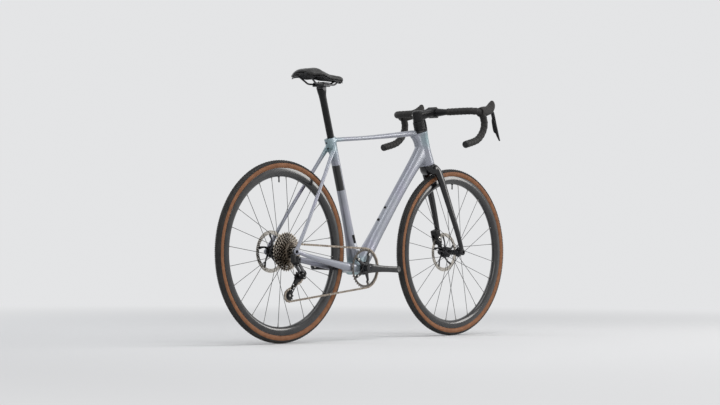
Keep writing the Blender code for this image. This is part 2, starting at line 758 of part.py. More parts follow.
def make_stem(bore):
    """A stem split at the bar's front half, where the faceplate bolts on."""
    back = loft("stem", [
        (on_steering_axis(STEM_BASE, 0), 0.0195, 0.0215),
        (on_steering_axis(STEM_BASE + STEM_HEIGHT, 0), 0.0185, 0.0195),
    ], SATIN_BLACK, sides=16, power=2.2, origin=on_steering_axis(STEM_BASE))
    centre = on_steering_axis(STEM_CENTRE)
    arm = loft("stem_arm", [
        (centre, 0.0170, 0.0185),
        (centre.lerp(HANDLEBAR_CENTRE, 0.30), 0.0165, 0.0180),
        (centre.lerp(HANDLEBAR_CENTRE, 0.62), 0.0155, 0.0150),
        (centre.lerp(HANDLEBAR_CENTRE, 0.96), 0.0200, 0.0150),
    ], sides=12, power=3.0)
    half = STEM_CLAMP_WIDTH / 2
    clamp = rod("stem_clamp", HANDLEBAR_CENTRE - half * LEFT, HANDLEBAR_CENTRE + half * LEFT,
                STEM_CLAMP_RADIUS, sides=20)
    bar = rod("bar_clamp_bore", HANDLEBAR_CENTRE - 0.04 * LEFT, HANDLEBAR_CENTRE + 0.04 * LEFT,
              BAR_CLAMP_RADIUS + GAP, sides=20)
    ahead = (HANDLEBAR_CENTRE - centre).normalized()
    turn = facing(ahead, LEFT)
    front_half = block("faceplate_side", HANDLEBAR_CENTRE + 0.0275 * ahead,
                       (0.06, 0.06, 0.055), rotation=turn)
    back_half = block("stem_side", HANDLEBAR_CENTRE + (0.0006 - 0.0275) * ahead,
                      (0.06, 0.06, 0.055), rotation=turn)
    join(back, arm, clamp)
    cut(back, bore, bar, front_half)
    faceplate = rod("stem_faceplate", HANDLEBAR_CENTRE - (half - 0.001) * LEFT,
                    HANDLEBAR_CENTRE + (half - 0.001) * LEFT, STEM_CLAMP_RADIUS, SATIN_BLACK,
                    sides=20, origin=HANDLEBAR_CENTRE)
    cut(faceplate, bar, back_half)


TAPE_START = 0.0785


def bar_route():
    """The left half of the handlebar's centre line, as offsets from its clamp, with its radii."""
    clamp = BAR_CLAMP_RADIUS / BAR_RADIUS
    across, reach, drop = BAR_WIDTH / 2, BAR_REACH, BAR_DROP
    # The first rows are measured from the middle plane, and the others from the bar's half width
    clamped = ((-0.020, clamp), (0.032, clamp), (0.078, 1.0))
    shape = (
        (0.000, -0.048, 0.000, 1.0),
        (0.050, -0.023, 0.000, 1.0),
        (0.210, -0.008, -0.002, 1.0),
        (0.550, -0.0015, -0.015, 1.0),
        (0.850, 0.000, -0.100, 1.0),
        (1.000, 0.002, -0.350, 1.0),
        (0.920, 0.003, -0.560, 1.0),
        (0.660, 0.004, -0.770, 1.0),
        (0.250, 0.0055, -0.930, 1.0),
        (-0.720, 0.008, -1.085, 1.0),
    )
    points = [HANDLEBAR_CENTRE + y * LEFT for y, _ in clamped]
    points += [
        HANDLEBAR_CENTRE + Vector((ahead * reach, across + out, down * drop))
        for ahead, out, down, _ in shape
    ]
    return points, [scale for _, scale in clamped] + [scale for _, _, _, scale in shape]


def bar_tube(name, side, radius, look=None, scales=None, beyond=0.0):
    """A tube on one half of the bar's centre line, as a mesh; all of them twist alike."""
    route = [Vector((p.x, side * p.y, p.z)) for p in bar_route()[0]]
    route[-1] += beyond * (route[-1] - route[-2]).normalized()
    return as_mesh(bent_tube(name, route, radius, look, scales=scales, origin=HANDLEBAR_CENTRE))


def make_handlebar():
    """The bar, its tape and its end plugs."""
    bar = bar_tube("handlebar", 1, BAR_RADIUS, SATIN_BLACK, bar_route()[1])
    mirror_across_centre(bar)
    end, before = bar_route()[0][-1], bar_route()[0][-2]
    for side, letter in ((1, "left"), (-1, "right")):
        tape = bar_tube(f"bar_tape_{letter}", side, BAR_RADIUS + TAPE_THICKNESS, GRIP)
        core = bar_tube(f"bar_core_{letter}", side, BAR_RADIUS + GAP, beyond=0.02)
        bare = block(f"bare_bar_{letter}", HANDLEBAR_CENTRE, (0.06, 2 * TAPE_START, 0.06))
        cut(tape, core, bare)
        turned(f"bar_end_plug_{letter}", [
            (0, 0.0060),
            (0.0100, 0.0055),
            (BAR_RADIUS + TAPE_THICKNESS - 0.0005, 0.0030),
            (BAR_RADIUS + TAPE_THICKNESS - 0.0005, GAP),
            (0, GAP),
        ], Vector((end.x, side * end.y, end.z)), SATIN_BLACK,
            axis=Vector((end.x - before.x, side * (end.y - before.y), end.z - before.z)),
            steps=8, ring=False)


# The brake and shift levers, as offsets from the handlebar's clamp

LEVER_PIVOT = (0.146, 0.010)
LEVER_PIN_RADIUS = 0.0020
LEVER_SLOT_HALF_WIDTH = 0.0099
LEVER_BOSS_HALF_WIDTH = 0.0088
LEVER_SIDE = BAR_WIDTH / 2 - 0.001
LEVER_ROOT = 0.060
LEVER_TURN = math.radians(12)


def lever_outward(side):
    """The way out of a lever's middle plane, which is turned in towards its front."""
    return Vector((math.sin(LEVER_TURN), side * math.cos(LEVER_TURN), 0))


def from_bar(ahead, up, out, side):
    """A point ahead of the bar's clamp in a lever's turned plane, or out from that plane."""
    forward = Vector((math.cos(LEVER_TURN), -side * math.sin(LEVER_TURN), 0))
    root = Vector((HANDLEBAR_CENTRE.x + LEVER_ROOT, side * LEVER_SIDE, HANDLEBAR_CENTRE.z + up))
    return root + (ahead - LEVER_ROOT) * forward + out * lever_outward(side)


def make_hood(side, letter):
    """The rubber-covered lever body round the top of the bend, with a slot for the blade."""
    stations = (
        (0.045, -0.0040, 0.0172, 0.0185),
        (0.075, 0.0000, 0.0175, 0.0212),
        (0.105, 0.0050, 0.0165, 0.0190),
        (0.130, 0.0125, 0.0155, 0.0190),
        (0.148, 0.0240, 0.0147, 0.0180),
        (0.156, 0.0370, 0.0122, 0.0140),
        (0.158, 0.0475, 0.0065, 0.0070),
    )
    hood = loft(f"hood_{letter}", [
        (from_bar(ahead, up, 0, side), half_width, half_height)
        for ahead, up, half_width, half_height in stations
    ], GRIP, sides=10, power=2.3, origin=from_bar(*LEVER_PIVOT, 0, side))
    space = bar_tube(f"tape_space_{letter}", side, BAR_RADIUS + TAPE_THICKNESS + 2 * GAP)
    slot = block(f"lever_slot_{letter}", from_bar(0.1625, -0.0085, 0, side),
                 (0.051, 2 * LEVER_SLOT_HALF_WIDTH, 0.053),
                 rotation=facing(Vector((0, 0, 1)), from_bar(1, 0, 0, side) - from_bar(0, 0, 0, side)))
    pivot = from_bar(*LEVER_PIVOT, 0, side)
    reach = (LEVER_SLOT_HALF_WIDTH + 0.002) * lever_outward(side)
    pin = rod(f"lever_pin_{letter}", pivot - reach, pivot + reach, LEVER_PIN_RADIUS, sides=PIN_SIDES)
    cut(hood, space, slot)
    join(hood, pin)


def blade_points(side):
    """The blade's centre line, which bows forward and outward towards its tip."""
    shape = (
        (0.1460, 0.0100, 0.0000, 0.0085, 0.0052),
        (0.1600, 0.0030, 0.0000, 0.0088, 0.0050),
        (0.1710, -0.0150, 0.0005, 0.0088, 0.0042),
        (0.1790, -0.0400, 0.0020, 0.0094, 0.0038),
        (0.1860, -0.0650, 0.0050, 0.0092, 0.0036),
        (0.1950, -0.0900, 0.0090, 0.0066, 0.0032),
        (0.2060, -0.1120, 0.0130, 0.0030, 0.0024),
    )
    return [
        (from_bar(ahead, up, out, side), half_width, half_depth)
        for ahead, up, out, half_width, half_depth in shape
    ]


def make_brake_lever(side, letter):
    pivot = from_bar(*LEVER_PIVOT, 0, side)
    out = lever_outward(side)
    lever = loft(f"brake_lever_{letter}", blade_points(side), DARK_ALLOY, sides=8, power=2.6,
                 origin=pivot)
    boss = rod(f"lever_boss_{letter}", pivot - LEVER_BOSS_HALF_WIDTH * out,
               pivot + LEVER_BOSS_HALF_WIDTH * out, 0.0065, sides=12)
    bore = rod(f"lever_bore_{letter}", pivot - 0.02 * out, pivot + 0.02 * out,
               clear_of(LEVER_PIN_RADIUS, PIN_SIDES), sides=PIN_SIDES)
    join(lever, boss)
    cut(lever, bore)


PADDLE_TOP = 0.30
PADDLE_FOOT = 0.66
PADDLE_BEHIND = 0.0079


def make_shift_paddle(side, letter):
    """The paddle behind the blade, which swings towards the centre plane."""
    blade = [point for point, _, _ in blade_points(side)]
    top = blade[2].lerp(blade[3], PADDLE_TOP) - Vector((PADDLE_BEHIND, 0, 0))
    foot = blade[4].lerp(blade[5], PADDLE_FOOT) - Vector((PADDLE_BEHIND, 0, 0))
    loft(f"shift_paddle_{letter}", [
        (top, 0.0050, 0.0034),
        (top.lerp(foot, 0.3), 0.0085, 0.0034),
        (top.lerp(foot, 0.75), 0.0105, 0.0032),
        (foot, 0.0070, 0.0028),
    ], SATIN_BLACK, sides=8, power=2.6, origin=top)


# The seatpost and the saddle

SEATPOST_TOP = SEAT_TUBE_LENGTH + SEATPOST_EXPOSED
CRADLE_RADIUS = 0.0110
RAIL_HEIGHT_ABOVE_TILT = 0.0135
TILT_CENTRE = on_seat_axis(SEATPOST_TOP + 0.006, 0.002)
RAIL_CENTRE_Z = TILT_CENTRE.z + RAIL_HEIGHT_ABOVE_TILT
CLAMP_LENGTH = 0.042


def make_seatpost():
    """The post with its open head, whose two ears carry the tilting clamp."""
    foot = on_seat_axis(SEAT_TUBE_LENGTH - SEATPOST_INSERTED)
    post = rod("seatpost", foot, on_seat_axis(SEATPOST_TOP - 0.012), SEATPOST_RADIUS, CARBON,
               sides=POST_SIDES, origin=foot)
    head = loft("seatpost_head", [
        (on_seat_axis(SEATPOST_TOP - 0.050), 0.0128, 0.0128),
        (on_seat_axis(SEATPOST_TOP - 0.022), 0.0140, 0.0135),
        (on_seat_axis(SEATPOST_TOP - 0.008, 0.001), 0.0160, 0.0165),
        (on_seat_axis(SEATPOST_TOP + 0.002, 0.002), 0.0160, 0.0190),
    ], sides=12, power=2.5)
    seat = rod("cradle_seat", TILT_CENTRE - 0.03 * LEFT, TILT_CENTRE + 0.03 * LEFT,
               clear_of(CRADLE_RADIUS, POST_SIDES), sides=POST_SIDES)
    join(post, head)
    cut(post, seat)


def rail_points(side):
    """One saddle rail from its rear socket to the nose, low between the clamps."""
    half = RAIL_SPACING / 2
    shape = (
        (-0.112, half + 0.012, 0.030),
        (-0.096, half + 0.008, 0.026),
        (-0.070, half + 0.002, 0.010),
        (-0.052, half, 0.0005),
        (-0.030, half, 0.0),
        (0.030, half, 0.0),
        (0.048, half - 0.001, 0.001),
        (0.068, half - 0.007, 0.008),
        (0.084, half - 0.012, 0.017),
        (0.097, 0.0055, 0.0215),
    )
    return [
        Vector((TILT_CENTRE.x + along, side * out, RAIL_CENTRE_Z + up)) for along, out, up in shape
    ]


def make_saddle_clamp():
    """The cradle that tilts in the post's head, and the plate that holds the rails down on it."""
    length = CLAMP_LENGTH
    cradle = rod("saddle_cradle", TILT_CENTRE - 0.0165 * LEFT, TILT_CENTRE + 0.0165 * LEFT,
                 CRADLE_RADIUS, DARK_ALLOY, sides=POST_SIDES, origin=TILT_CENTRE)
    saddle_top = Vector((TILT_CENTRE.x, 0, RAIL_CENTRE_Z))
    bed = block("cradle_bed", saddle_top + Vector((0, 0, -0.0045)),
                (length, RAIL_SPACING + 0.014, 0.0085), bevel=0.0015)
    upper = block("saddle_clamp_plate", saddle_top + Vector((0, 0, 0.0042)),
                  (length - 0.004, RAIL_SPACING + 0.014, 0.0078), DARK_ALLOY, bevel=0.0015,
                  origin=TILT_CENTRE)
    rails = [
        rod(f"rail_space_{letter}", saddle_top + Vector((-0.04, side * RAIL_SPACING / 2, 0)),
            saddle_top + Vector((0.04, side * RAIL_SPACING / 2, 0)), RAIL_RADIUS + GAP, sides=12)
        for side, letter in ((1, "left"), (-1, "right"))
    ]
    join(cradle, bed)
    window = block("cradle_window", saddle_top + Vector((0, 0, 0.004)), (0.018, 0.018, 0.030))
    cut(cradle, *rails)
    cut(upper, *rails, window)


def saddle_width_at(share):
    """Half the saddle's width at a share of its length from the rear."""
    shape = ((0.0, 0.62), (0.06, 0.88), (0.20, 1.0), (0.36, 0.86), (0.52, 0.50), (0.68, 0.33),
             (0.85, 0.27), (0.95, 0.22), (1.0, 0.12))
    for (x0, w0), (x1, w1) in zip(shape, shape[1:]):
        if share <= x1:
            return (w0 + (w1 - w0) * (share - x0) / (x1 - x0)) * SADDLE_WIDTH / 2
    return shape[-1][1] * SADDLE_WIDTH / 2


def saddle_top_at(share):
    """The height of the crown above the rails at a share of the length from the rear."""
    shape = ((0.0, 0.048), (0.12, 0.057), (0.24, 0.061), (0.42, 0.053), (0.65, 0.045),
             (0.88, 0.043), (1.0, 0.037))
    for (x0, h0), (x1, h1) in zip(shape, shape[1:]):
        if share <= x1:
            return h0 + (h1 - h0) * (share - x0) / (x1 - x0)
    return shape[-1][1]


SADDLE_REAR_X = TILT_CENTRE.x - 0.124
SADDLE_STATIONS = (0.0, 0.05, 0.13, 0.22, 0.32, 0.42, 0.52, 0.66, 0.82, 0.94, 1.0)
SADDLE_COLUMNS = (-1.0, -0.82, -0.52, -0.22, 0.0, 0.22, 0.52, 0.82, 1.0)
SADDLE_CHANNEL_DEPTH = 0.0060
SADDLE_CHANNEL_HALF_WIDTH = 0.0100
SADDLE_CROWN = 0.026


def saddle_surface(share, across, sink):
    """A point of the saddle's top, sunk by some depth, at a share of the length and of the width."""
    half_width = saddle_width_at(share) - 0.4 * sink
    y = across * half_width
    fall = SADDLE_CROWN * abs(across) ** 3.2 * (0.45 + half_width / SADDLE_WIDTH)
    middle = max(0.0, 1 - (2 * share - 1.05) ** 2)
    channel = SADDLE_CHANNEL_DEPTH * middle * math.exp(-(y / SADDLE_CHANNEL_HALF_WIDTH) ** 2)
    x = SADDLE_REAR_X + share * SADDLE_LENGTH
    return Vector((x, y, RAIL_CENTRE_Z + saddle_top_at(share) - fall - channel - sink))


def saddle_layer(name, top, bottom, rim_bottom, look, origin):
    """A closed layer between two depths under the saddle's top, thinner at its rim."""
    bm = bmesh.new()
    rows = []
    for share in SADDLE_STATIONS:
        row_top, row_bottom = [], []
        for across in SADDLE_COLUMNS:
            edge = abs(across) ** 4
            low = bottom + (rim_bottom - bottom) * edge
            row_top.append(bm.verts.new(saddle_surface(share, across, top)))
            row_bottom.append(bm.verts.new(saddle_surface(share, across, low)))
        rows.append(row_top + row_bottom[::-1])
    count = len(rows[0])
    for near, far in zip(rows, rows[1:]):
        for k in range(count):
            a, b = near[k], near[(k + 1) % count]
            c, d = far[(k + 1) % count], far[k]
            # Both sides are split along the same diagonal, so that layers lie flat on each other
            for corners in ((a, b, c), (a, c, d)) if k < count // 2 else ((a, b, d), (b, c, d)):
                bm.faces.new(corners)
    bm.faces.new(rows[0])
    bm.faces.new(rows[-1])
    return from_bmesh(name, bm, look, origin)


PAD_THICKNESS = 0.0110
SHELL_THICKNESS = 0.0030


def make_saddle():
    """The padded top, the shell that it is bonded to, and the pair of rails."""
    saddle_layer("saddle_pad", 0.0, PAD_THICKNESS, 0.0095, GRIP, TILT_CENTRE)
    top = PAD_THICKNESS + GAP
    shell = saddle_layer("saddle_shell", top, top + SHELL_THICKNESS, top + SHELL_THICKNESS,
                         SATIN_BLACK, TILT_CENTRE)
    rails = rail_points(1) + [Vector((p.x, -p.y, p.z)) for p in reversed(rail_points(1))]
    as_mesh(bent_tube("saddle_rails", rails, RAIL_RADIUS, STEEL, resolution=2, origin=TILT_CENTRE))
    sockets = []
    for side, letter in ((1, "left"), (-1, "right")):
        points = rail_points(side)
        rear = points[0]
        sockets.append(block(f"rear_socket_{letter}", rear + Vector((0.002, 0, -0.001)),
                             (0.018, 0.014, 0.012)))
    front = rail_points(1)[-1]
    sockets.append(block("front_socket", Vector((front.x + 0.001, 0, front.z + 0.0005)),
                         (0.020, 0.020, 0.011)))
    longer = list(rails)
    longer[0] = rails[0] + GAP * (rails[0] - rails[1]).normalized()
    longer[-1] = rails[-1] + GAP * (rails[-1] - rails[-2]).normalized()
    space = as_mesh(bent_tube("rail_sockets_space", longer, RAIL_RADIUS + GAP, resolution=2))
    above = saddle_layer("above_the_shell", -0.02, top + SHELL_THICKNESS / 2,
                         top + SHELL_THICKNESS / 2, None, Vector((0, 0, 0)))
    for socket in sockets:
        cut(socket, above)
    join(shell, *sockets)
    cut(shell, space)


# The wheels

HALF_STEP = math.pi / WHEEL_STEPS
WHEEL_START = Vector((math.sin(HALF_STEP), 0, -math.cos(HALF_STEP)))
CORNER = 1 / math.cos(HALF_STEP)
TREAD_RADIUS = TYRE_RADIUS - KNOB_HEIGHT
RIM_INNER_RADIUS = RIM_OUTER_RADIUS - RIM_DEPTH
REAR_FLANGE_LEFT = 0.0330
REAR_FLANGE_RIGHT = 0.0195
FRONT_FLANGE_LEFT = 0.0215
FRONT_FLANGE_RIGHT = 0.0360


def make_tyre(name, centre):
    """A ring with the tyre's section, whose tread faces are raised into staggered knobs."""
    half = TYRE_WIDTH / 2
    section = (
        (RIM_OUTER_RADIUS + GAP, 0.66 * half),
        (RIM_OUTER_RADIUS + 0.0135, 1.00 * half),
        (TREAD_RADIUS - 0.0038, 0.68 * half),
        (TREAD_RADIUS, 0.26 * half),
    )
    loop = [(r, y) for r, y in section] + [(r, -y) for r, y in reversed(section)]
    bm = bmesh.new()
    rings = []
    for step in range(WHEEL_STEPS):
        angle = math.tau * (step + 0.5) / WHEEL_STEPS
        out = Vector((math.sin(angle), 0, -math.cos(angle)))
        rings.append([bm.verts.new(centre + r * CORNER * out + y * LEFT) for r, y in loop])
    rows = {"middle": [], "left": [], "right": []}
    count = len(loop)
    middle = len(section) - 1
    for step in range(WHEEL_STEPS):
        near, far = rings[step], rings[(step + 1) % WHEEL_STEPS]
        for k in range(count):
            face = bm.faces.new((near[k], near[(k + 1) % count], far[(k + 1) % count], far[k]))
            if k == middle and step % 2 == 1:
                rows["middle"].append(face)
            if k in (middle - 1, middle + 1) and step % 2 == 0:
                rows["left"].append(face)
    bmesh.ops.recalc_face_normals(bm, faces=bm.faces)
    for faces in rows.values():
        bmesh.ops.inset_individual(bm, faces=faces, thickness=0.0011, depth=KNOB_HEIGHT)
    return from_bmesh(name, bm, TREAD, centre)


def make_rim(name, centre, valve_angle):
    """A deep carbon rim with the tyre's valve stem standing inwards."""
    half = RIM_WIDTH / 2
    section = [
        (RIM_OUTER_RADIUS * CORNER, -0.90 * half),
        (RIM_OUTER_RADIUS * CORNER, 0.90 * half),
        ((RIM_OUTER_RADIUS - 0.0140) * CORNER, half),
        (RIM_INNER_RADIUS * CORNER, 0.32 * half),
        (RIM_INNER_RADIUS * CORNER, -0.32 * half),
        ((RIM_OUTER_RADIUS - 0.0140) * CORNER, -half),
    ]
    rim = turned(name, section[::-1], centre, CARBON, start=WHEEL_START, steps=WHEEL_STEPS)
    out = Vector((math.cos(valve_angle), 0, math.sin(valve_angle)))
    valve = rod(f"{name}_valve", centre + (RIM_INNER_RADIUS - VALVE_LENGTH) * out,
                centre + (RIM_INNER_RADIUS + 0.004) * out, 0.0030, sides=8)
    join(rim, valve)


VALVE_LENGTH = 0.022
HUB_BORE = clear_of(THRU_AXLE_RADIUS, HUB_SIDES)


def make_hub(name, centre, body, flanges, phase):
    """A hub shell with its spokes, laced two-cross to a ring of points inside the rim."""
    hub = turned(name, body, centre, SATIN_BLACK, steps=HUB_SIDES)
    bm = bmesh.new()
    per_side = SPOKES // 2
    for k in range(SPOKES):
        side = 1 if k % 2 else -1
        rim_angle = phase + math.tau * k / SPOKES
        leading = 1 if (k // 2) % 2 else -1
        hub_angle = rim_angle + leading * 2 * math.tau / per_side
        flange_y, flange_radius = flanges[side]
        start = centre + flange_radius * Vector((math.cos(hub_angle), 0, math.sin(hub_angle)))
        start += (side * flange_y + leading * 0.0014) * LEFT
        out = Vector((math.cos(rim_angle), 0, math.sin(rim_angle)))
        end = centre + (RIM_INNER_RADIUS - GAP - 0.0002) * out + side * 0.0025 * LEFT
        add_rod(bm, start, end, SPOKE_RADIUS, sides=3)
    join(hub, from_bmesh(f"{name}_spokes", bm))
    return hub


FREEHUB_RADIUS = 0.0100
ROTOR_MOUNT_RADIUS = 0.0165


def rear_hub_body():
    """The profile's outer side runs from the left end to the right, then back along the bore."""
    end = HANGER_FACE - GAP
    right = REAR_FLANGE_RIGHT
    left = REAR_FLANGE_LEFT
    return [
        (0.0092, end), (0.0092, REAR_ROTOR_Y + 0.006), (ROTOR_MOUNT_RADIUS, REAR_ROTOR_Y + 0.005),
        (ROTOR_MOUNT_RADIUS, REAR_ROTOR_Y - 0.006), (0.0135, left + 0.006), (0.0240, left + 0.0018),
        (0.0240, left - 0.0018), (0.0130, left - 0.007), (0.0130, -right + 0.009),
        (0.0260, -right + 0.0018), (0.0260, -right - 0.0018), (0.0160, -right - 0.0035),
        (FREEHUB_RADIUS - GAP, -right - 0.0040), (FREEHUB_RADIUS - GAP, -end),
        (HUB_BORE, -end), (HUB_BORE, end),
    ]


def front_hub_body():
    end = FRONT_HUB_WIDTH / 2
    right = FRONT_FLANGE_RIGHT
    left = FRONT_FLANGE_LEFT
    return [
        (0.0092, end), (0.0092, FRONT_ROTOR_Y + 0.006), (ROTOR_MOUNT_RADIUS, FRONT_ROTOR_Y + 0.005),
        (ROTOR_MOUNT_RADIUS, FRONT_ROTOR_Y - 0.006), (0.0125, left + 0.006), (0.0215, left + 0.0018),
        (0.0215, left - 0.0018), (0.0110, left - 0.007), (0.0110, -right + 0.008),
        (0.0195, -right + 0.0018), (0.0195, -right - 0.0018), (0.0110, -right - 0.006),
        (0.0092, -right - 0.0065), (0.0092, -end), (HUB_BORE, -end), (HUB_BORE, end),
    ]


ROTOR_ARMS = 5
ROTOR_TRACK = 0.0150


def make_rotor(name, centre, radius, rotor_y):
    """A brake disc: its track, five slanting arms and the ring that the hub's splines hold."""
    hole = ROTOR_MOUNT_RADIUS + GAP
    carrier = hole + 0.0060
    track_inner = radius - ROTOR_TRACK
    around = 360 / HUB_SIDES
    outlines = [arc((0, 0), radius, 0, 348, 30), arc((0, 0), hole, 0, 360 - around, HUB_SIDES)]
    share = 360 / ROTOR_ARMS
    for arm in range(ROTOR_ARMS):
        first = arm * share
        inner = arc((0, 0), carrier, first + 30, first + 30 + share - 22, 3)
        outer = arc((0, 0), track_inner, first + share - 6, first, 5)
        outlines.append(inner + outer)
    disc = flat_shape(name, outlines, centre + rotor_y * LEFT, ROTOR_THICKNESS, STEEL)
    return disc


def make_wheels():
    spoke_gap = math.tau / SPOKES
    make_tyre("rear_tyre", REAR_AXLE)
    make_tyre("front_tyre", FRONT_AXLE)
    make_rim("rear_rim", REAR_AXLE, REAR_VALVE_ANGLE)
    make_rim("front_rim", FRONT_AXLE, FRONT_VALVE_ANGLE)
    make_hub("rear_hub", REAR_AXLE, rear_hub_body(),
             {1: (REAR_FLANGE_LEFT, 0.0215), -1: (REAR_FLANGE_RIGHT, 0.0235)},
             REAR_VALVE_ANGLE - spoke_gap / 2)
    make_hub("front_hub", FRONT_AXLE, front_hub_body(),
             {1: (FRONT_FLANGE_LEFT, 0.0190), -1: (FRONT_FLANGE_RIGHT, 0.0170)},
             FRONT_VALVE_ANGLE - spoke_gap / 2)
    make_rotor("rear_rotor", REAR_AXLE, REAR_ROTOR_RADIUS, REAR_ROTOR_Y)
    make_rotor("front_rotor", FRONT_AXLE, FRONT_ROTOR_RADIUS, FRONT_ROTOR_Y)
    turned("front_thru_axle", [
        (0, FORK_DROPOUT_OUTER + AXLE_HEAD_THICKNESS),
        (AXLE_HEAD_RADIUS, FORK_DROPOUT_OUTER + AXLE_HEAD_THICKNESS),
        (AXLE_HEAD_RADIUS, FORK_DROPOUT_OUTER + GAP),
        (THRU_AXLE_RADIUS, FORK_DROPOUT_OUTER + GAP),
        (THRU_AXLE_RADIUS, -FORK_DROPOUT_OUTER + 0.001),
        (0, -FORK_DROPOUT_OUTER + 0.001),
    ], FRONT_AXLE, SATIN_BLACK, steps=HUB_SIDES, ring=False)


# The disc brakes

PAD_TRAVEL = 0.00025
PAD_LENGTH = 0.020
PAD_HEIGHT = 0.016
PAD_THICKNESS_WITH_PLATE = 0.0036
CALIPER_SLOT = ROTOR_THICKNESS + 2 * (PAD_TRAVEL + PAD_THICKNESS_WITH_PLATE + 2 * GAP)
CALIPER_HALF_WIDTH = 0.0150


def make_caliper(name, axle, rotor_radius, rotor_y, along, normal, first, last, low, high):
    """A caliper and its two pads; its box is given along its mount and away from it."""
    centre = axle + (first + last) / 2 * along + (low + high) / 2 * normal + rotor_y * LEFT
    turn = facing(normal, along)
    body = block(name, centre, (last - first, 2 * CALIPER_HALF_WIDTH, high - low), SATIN_BLACK,
                 rotation=turn, bevel=0.004, origin=centre)
    disc = axle + rotor_y * LEFT
    slot = rod(f"{name}_slot", disc - CALIPER_SLOT / 2 * LEFT, disc + CALIPER_SLOT / 2 * LEFT,
               rotor_radius + 0.0015, sides=24)
    cut(body, slot)
    out = (centre - disc).normalized()
    clear = ROTOR_THICKNESS / 2 + PAD_TRAVEL + GAP + PAD_THICKNESS_WITH_PLATE / 2
    for side, letter in ((1, "outer"), (-1, "inner")):
        middle = disc + (rotor_radius - PAD_HEIGHT / 2 - 0.001) * out + side * clear * LEFT
        block(name.replace("caliper", f"brake_pad_{letter}"), middle,
              (PAD_LENGTH, PAD_THICKNESS_WITH_PLATE, PAD_HEIGHT), PAD_COMPOUND,
              rotation=facing(out, LEFT.cross(out)), origin=middle)


def make_brakes():
    """The front caliper stands behind the left fork blade, the rear one on the left chain stay."""
    make_caliper("front_caliper", FRONT_AXLE, FRONT_ROTOR_RADIUS, FRONT_ROTOR_Y, STEER_UP,
                 -STEER_FORWARD, 0.044, 0.106, 0.0138, 0.0450)
    make_caliper("rear_caliper", REAR_AXLE, REAR_ROTOR_RADIUS, REAR_ROTOR_Y, STAY_DIRECTION,
                 STAY_NORMAL, 0.036, 0.100, CALIPER_MOUNT_TOP + GAP, 0.0440)


# The drivetrain

CHAIN_HALF_HEIGHT = CHAIN_HEIGHT / 2
INNER_PLATE = (CHAIN_INNER_GAP / 2, CHAIN_INNER_GAP / 2 + CHAIN_PLATE)
OUTER_PLATE = (INNER_PLATE[1], INNER_PLATE[1] + CHAIN_PLATE)
SPROCKET_Y = SMALLEST_SPROCKET_Y + SPROCKET_IN_USE * SPROCKET_PITCH
TOOTH_HEIGHT = 0.0025
TOOTH_HALF_BASE = 0.0024


def from_rear_axle(ahead, y, up):
    return Vector((-WHEELBASE / 2 + ahead, y, WHEEL_CENTRE_Z + up))


HANGER_BOLT = from_rear_axle(-0.0085, 0, -0.0280)
CAGE_PIVOT = from_rear_axle(0.0440, 0, -0.0925)
GUIDE_FROM_PIVOT = Vector((-0.0060, 0, -0.0025))
TENSION_FROM_PIVOT = Vector((-0.0550, 0, -0.0720))
CHAIN_LINKS = 114


def path_radius(teeth):
    """The radius at which the chain's length is counted round a wheel."""
    return teeth * CHAIN_PITCH / math.tau


def pin_radius(teeth):
    """The radius on which the chain's pins sit round a wheel."""
    return CHAIN_PITCH / (2 * math.sin(math.pi / teeth))


def root_radius(teeth):
    """The bottom of the gaps between teeth, just clear of the chain's plates."""
    return pin_radius(teeth) * math.cos(math.pi / teeth) - CHAIN_HALF_HEIGHT - GAP


def turn_about_pivot(offset, angle):
    """A point of the cage, when the cage is turned this far forward about its pivot."""
    c, s = math.cos(angle), math.sin(angle)
    return CAGE_PIVOT + Vector((offset.x * c - offset.z * s, 0, offset.x * s + offset.z * c))


def chain_wheels(cage_angle):
    """The wheels in the order that the chain meets them: centre, teeth, turning sense and y."""
    teeth = CASSETTE_TEETH[SPROCKET_IN_USE]
    return (
        (BB_CENTRE, CHAINRING_TEETH, 1, -CHAINLINE),
        (REAR_AXLE, teeth, 1, SPROCKET_Y),
        (turn_about_pivot(GUIDE_FROM_PIVOT, cage_angle), PULLEY_TEETH, -1, SPROCKET_Y),
        (turn_about_pivot(TENSION_FROM_PIVOT, cage_angle), PULLEY_TEETH, 1, SPROCKET_Y),
    )


def chain_route(cage_angle):
    """The runs between the wheels: (direction angle, length) of the tangent after each wheel."""
    wheels = chain_wheels(cage_angle)
    runs = []
    for k, (centre, teeth, sense, _) in enumerate(wheels):
        following = wheels[(k + 1) % len(wheels)]
        offset = following[0] - centre
        distance = math.hypot(offset.x, offset.z)
        difference = sense * path_radius(teeth) - following[2] * path_radius(following[1])
        length = math.sqrt(distance**2 - difference**2)
        angle = math.atan2(offset.z, offset.x) + math.atan2(difference, length)
        runs.append((angle, length))
    return runs


def wrap_angles(runs, wheels):
    """How far the chain turns round each wheel, in radians, always positive."""
    wraps = []
    for k, (_, _, sense, _) in enumerate(wheels):
        incoming, outgoing = runs[k - 1][0], runs[k][0]
        wraps.append((sense * (outgoing - incoming)) % math.tau)
    return wraps


def chain_length(cage_angle):
    wheels = chain_wheels(cage_angle)
    runs = chain_route(cage_angle)
    wraps = wrap_angles(runs, wheels)
    arcs = sum(path_radius(wheel[1]) * wrap for wheel, wrap in zip(wheels, wraps))
    return arcs + sum(length for _, length in runs)


def solve_cage_angle():
    """The cage's angle at which a whole number of links fits round all four wheels."""
    wanted = CHAIN_LINKS * CHAIN_PITCH
    back, forward = math.radians(-30), math.radians(60)
    for _ in range(50):
        middle = (back + forward) / 2
        if chain_length(middle) > wanted:
            back = middle
        else:
            forward = middle
    return (back + forward) / 2


CAGE_ANGLE = solve_cage_angle()
GUIDE_CENTRE = turn_about_pivot(GUIDE_FROM_PIVOT, CAGE_ANGLE) + SPROCKET_Y * LEFT
TENSION_CENTRE = turn_about_pivot(TENSION_FROM_PIVOT, CAGE_ANGLE) + SPROCKET_Y * LEFT


